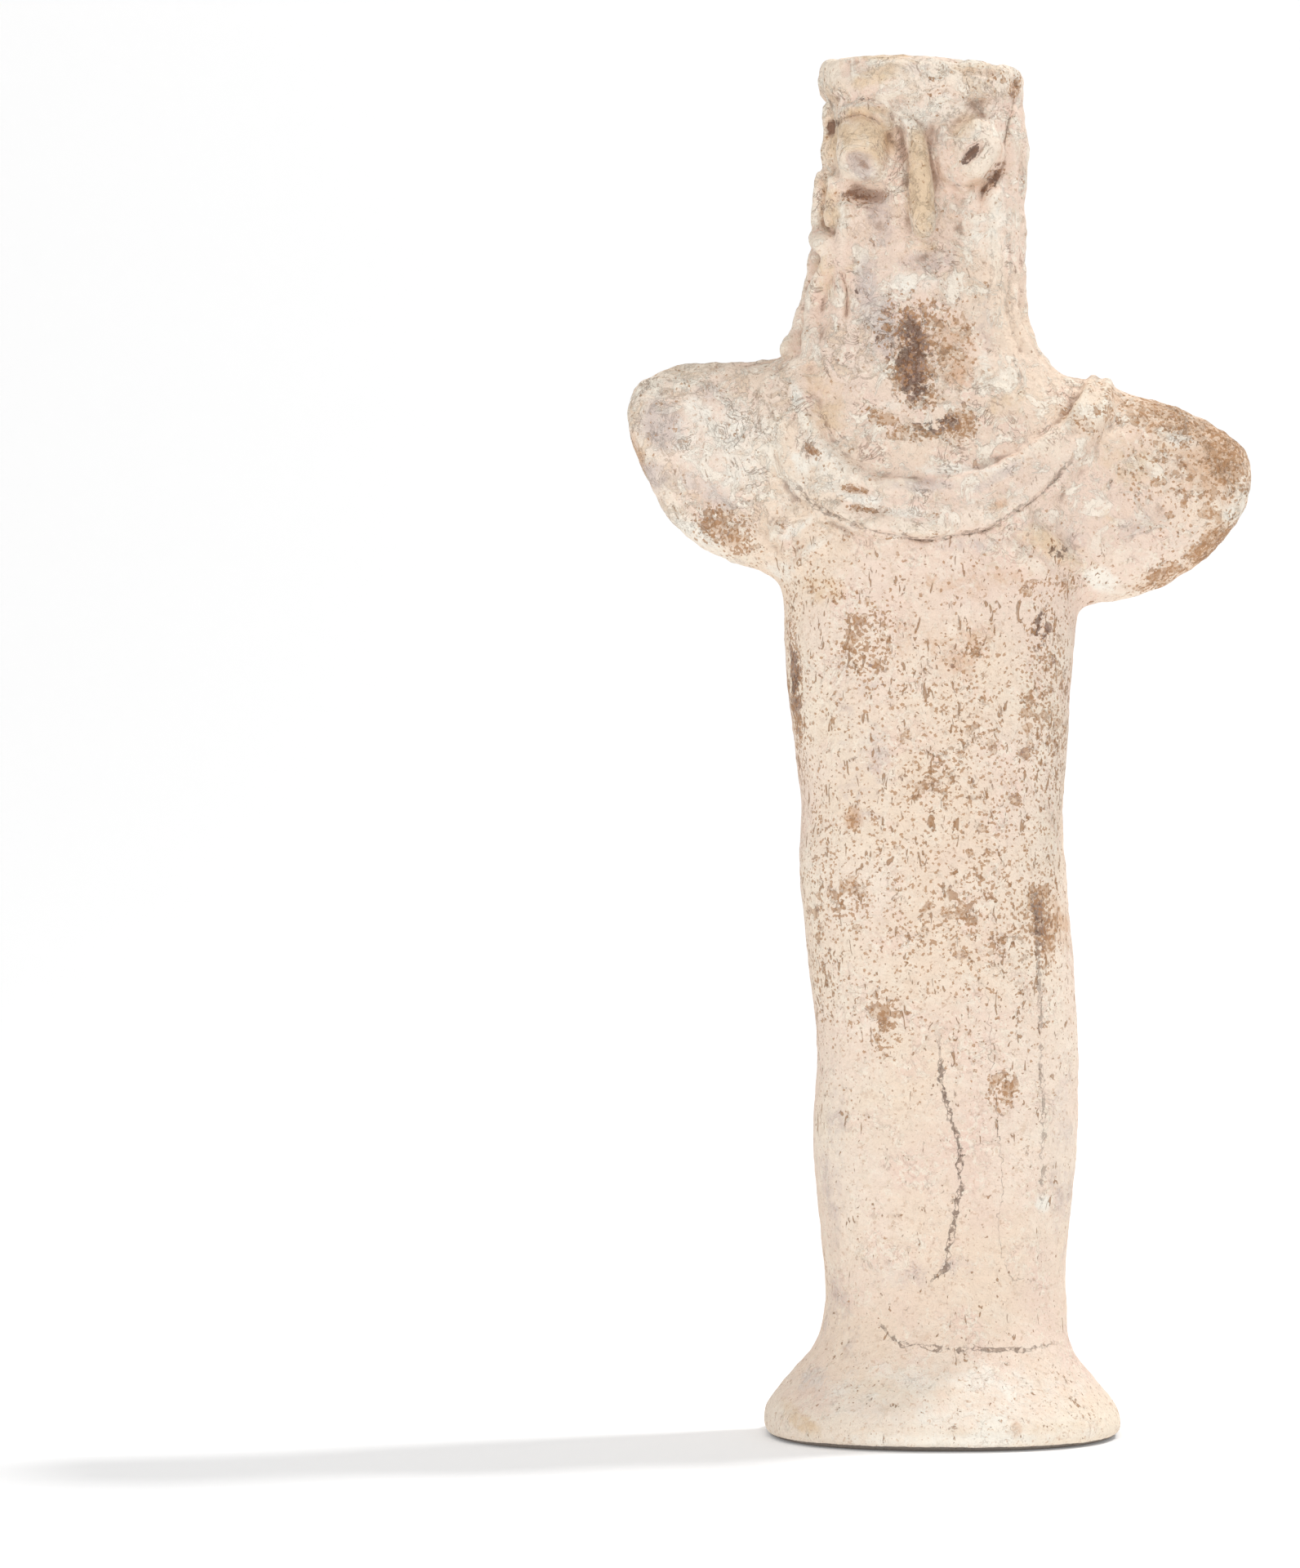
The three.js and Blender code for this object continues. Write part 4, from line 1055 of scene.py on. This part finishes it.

    # The brown mask makes crust, partly as painted shadow in the eye hollows and dents; the dark mask
    # deepens it, partly as painted shadow
    brown_crust_and_shade = mask("brown_crust_and_shade")
    dark_stain_and_shadow = mask("dark_stain_and_shadow")
    large = cells(1.7, seed=31)
    flakes = large + (cells(1.1, seed=35) - large) * upper
    chips = cells(0.4, seed=37)
    ragged = (crumbs - 0.5) * 0.5 + (islands - 0.5) * 0.5
    speckled = mask("speckled")
    density = brown_crust_and_shade * 0.75 + ragged - 0.08
    flaked = between(density - flakes, -0.02, 0.03) * between(islands + brown_crust_and_shade * 0.35, 0.4, 0.48)
    chipped = between(density * 0.6 + speckled * 0.1 + (patches - 0.5) * 0.3 - chips, -0.02, 0.03)
    solid = between(brown_crust_and_shade + ragged * 1.1, 0.74, 0.9)
    crust = layered(
        (206, 170, 138),
        ((176, 134, 98), between(clouds, 0.4, 0.6)),
        ((118, 76, 58), between(crumbs + dark_stain_and_shadow * 0.3, 0.54, 0.64)),
        ((236, 210, 186), between(grain * 0.6 + crumbs * 0.4, 0.51, 0.55) * 0.85),
    )
    # Nearly black crumbs where the dark mask is strong: stains, and in part painted shadow
    soot_and_shadow = between(dark_stain_and_shadow * 0.4 + grain * 0.8 + crumbs * 0.6, 0.96, 1.06) * between(dark_stain_and_shadow, 0.05, 0.2)

    sprinkled = speckled * 0.045 - upper * 0.035 + (patches - 0.5) * 0.12
    specks = between(dashes + sprinkled, 0.69, 0.72)
    dots = between(noise(0.36, 1, seed=21) + sprinkled, 0.74, 0.77)
    pits = between(noise(0.3, 1, seed=23), 0.64, 0.7)
    # Thin lines along noise folds, darkened as painted crease shade and dipped in the bump
    folds = 1 - abs(noise(2.4, 4, 0.65, 1, seed=47) * 2 - 1)
    painted_crease_shade = between(folds, 0.97, 0.995) * between(clouds, 0.5, 0.62) * (0.2 + upper * 0.35)
    # Painted shade under the foot's lip
    shaded = between(mask("under_lip") + (crumbs - 0.5) * 0.6, 0.5, 0.8)
    wavering = mask("crack_side") + (crumbs - 0.5) * 0.8 + (clouds - 0.5) * 0.6
    cracked = (1 - between(abs(wavering) - (islands - 0.43) * 1.1, -0.05, 0.07)) * mask("crack_strength")
    clay = layered(
        clay,
        (crust, flaked.math("MAXIMUM", solid) * 0.72),
        ((180, 134, 94), chipped * 0.75),
        ((96, 66, 54), soot_and_shadow * 0.75),
        ((172, 130, 94), specks * (0.8 - upper * 0.25)),
        ((158, 118, 86), dots * 0.75),
        ((214, 184, 160), pits * 0.6),
        # Painted shade in the fine hollows
        ((156, 122, 102), between(fine + (grain - 0.5) * 0.9, 0.4, 1.1) * 0.7),
        ((190, 158, 134), painted_crease_shade),
        ((92, 84, 80), shaded * 0.85),
        ((146, 124, 110), cracked * between(grain, 0.42, 0.52) * 0.85),
    )

    height = grain * 0.8 + crumbs + clouds * 0.7 - specks * 0.3 + flaked * 0.25 - cracked * 0.5
    height = height - painted_crease_shade * 0.5 + (bleached - crumbled) * upper * 0.25
    bump = graph.add("ShaderNodeBump", {"Strength": 1.0, "Distance": 0.5 * MM, "Height": height})
    surface = {"Base Color": clay, "Roughness": 0.95 - flaked * 0.12, "Normal": bump["Normal"]}
    shader = graph.add("ShaderNodeBsdfPrincipled", {**surface, "Specular IOR Level": 0.25})
    graph.add("ShaderNodeOutputMaterial", {"Surface": shader["BSDF"]})


terracotta()


# The ground, the light and the camera

def ground(reach=4.0, flat=0.9, bend=0.5, rise=2.2):
    """A white ground that reaches out in front and to the sides, and behind the idol curves up into a
    backdrop after its flat part."""
    profile = [(-reach, 0), (flat, 0)]
    for turn in np.linspace(0, math.pi / 2, 13)[1:].tolist():
        profile.append((flat + bend * math.sin(turn), bend - bend * math.cos(turn)))
    profile.append((flat + bend, rise))
    points = [(side * reach, y, z) for y, z in profile for side in (-1, 1)]
    faces = [(2 * i, 2 * i + 1, 2 * i + 3, 2 * i + 2) for i in range(len(profile) - 1)]
    mesh = bpy.data.meshes.new("ground")
    mesh.from_pydata(points, [], faces)
    mesh.shade_smooth()
    paper = bpy.data.materials.new("white paper")
    paper.use_nodes = True
    paper.node_tree.nodes.clear()
    paper_graph = Graph(paper.node_tree)
    white = {"Base Color": (0.93, 0.93, 0.93, 1), "Roughness": 1.0, "Emission Color": (1, 1, 1, 1)}
    matt = paper_graph.add("ShaderNodeBsdfPrincipled", {**white, "Emission Strength": 0.14})
    paper_graph.add("ShaderNodeOutputMaterial", {"Surface": matt["BSDF"]})
    mesh.materials.append(paper)
    link("ground", mesh)


def softbox(name, place, size, power):
    """A round soft light at a place, turned to the idol."""
    lamp = bpy.data.lights.new(name, "AREA")
    lamp.shape = "DISK"
    lamp.size = size
    lamp.energy = power
    box = link(name, lamp)
    box.location = place
    box.rotation_euler = (LIT_PLACE - Vector(place)).to_track_quat("-Z", "Y").to_euler()


LIT_PLACE = Vector((0, 0, 0.1))
ground()
softbox("key", (0.66, 0.3, 1.38), size=0.16, power=10.6)
softbox("fill", (-0.3, -1.4, 0.9), size=1.2, power=8.2)
world = bpy.data.worlds.new("studio")
world.use_nodes = True
sky = world.node_tree.nodes["Background"].inputs
sky["Color"].default_value = (1, 1, 1, 1)
sky["Strength"].default_value = 0.5
bpy.context.scene.world = world
bpy.context.scene.view_settings.view_transform = "Standard"

CAMERA_DISTANCE = 1.15
CAMERA_HEIGHT = 0.135
CAMERA_LEFT = 46.7 * MM
VIEW_MIDDLE = 104 * MM  # height on the idol's axis at the middle of the view
VIEW_HEIGHT = 250.2 * MM  # what the view takes in from top to bottom at the idol

camera = bpy.data.cameras.new("camera")
camera.sensor_width = 36
camera.lens = camera.sensor_width * CAMERA_DISTANCE / VIEW_HEIGHT
camera_object = link("camera", camera)
camera_object.location = (-CAMERA_LEFT, -CAMERA_DISTANCE, CAMERA_HEIGHT)
pitch = math.atan2(CAMERA_HEIGHT - VIEW_MIDDLE, CAMERA_DISTANCE)
camera_object.rotation_euler = (math.pi / 2 - pitch, 0, 0)
bpy.context.scene.camera = camera_object
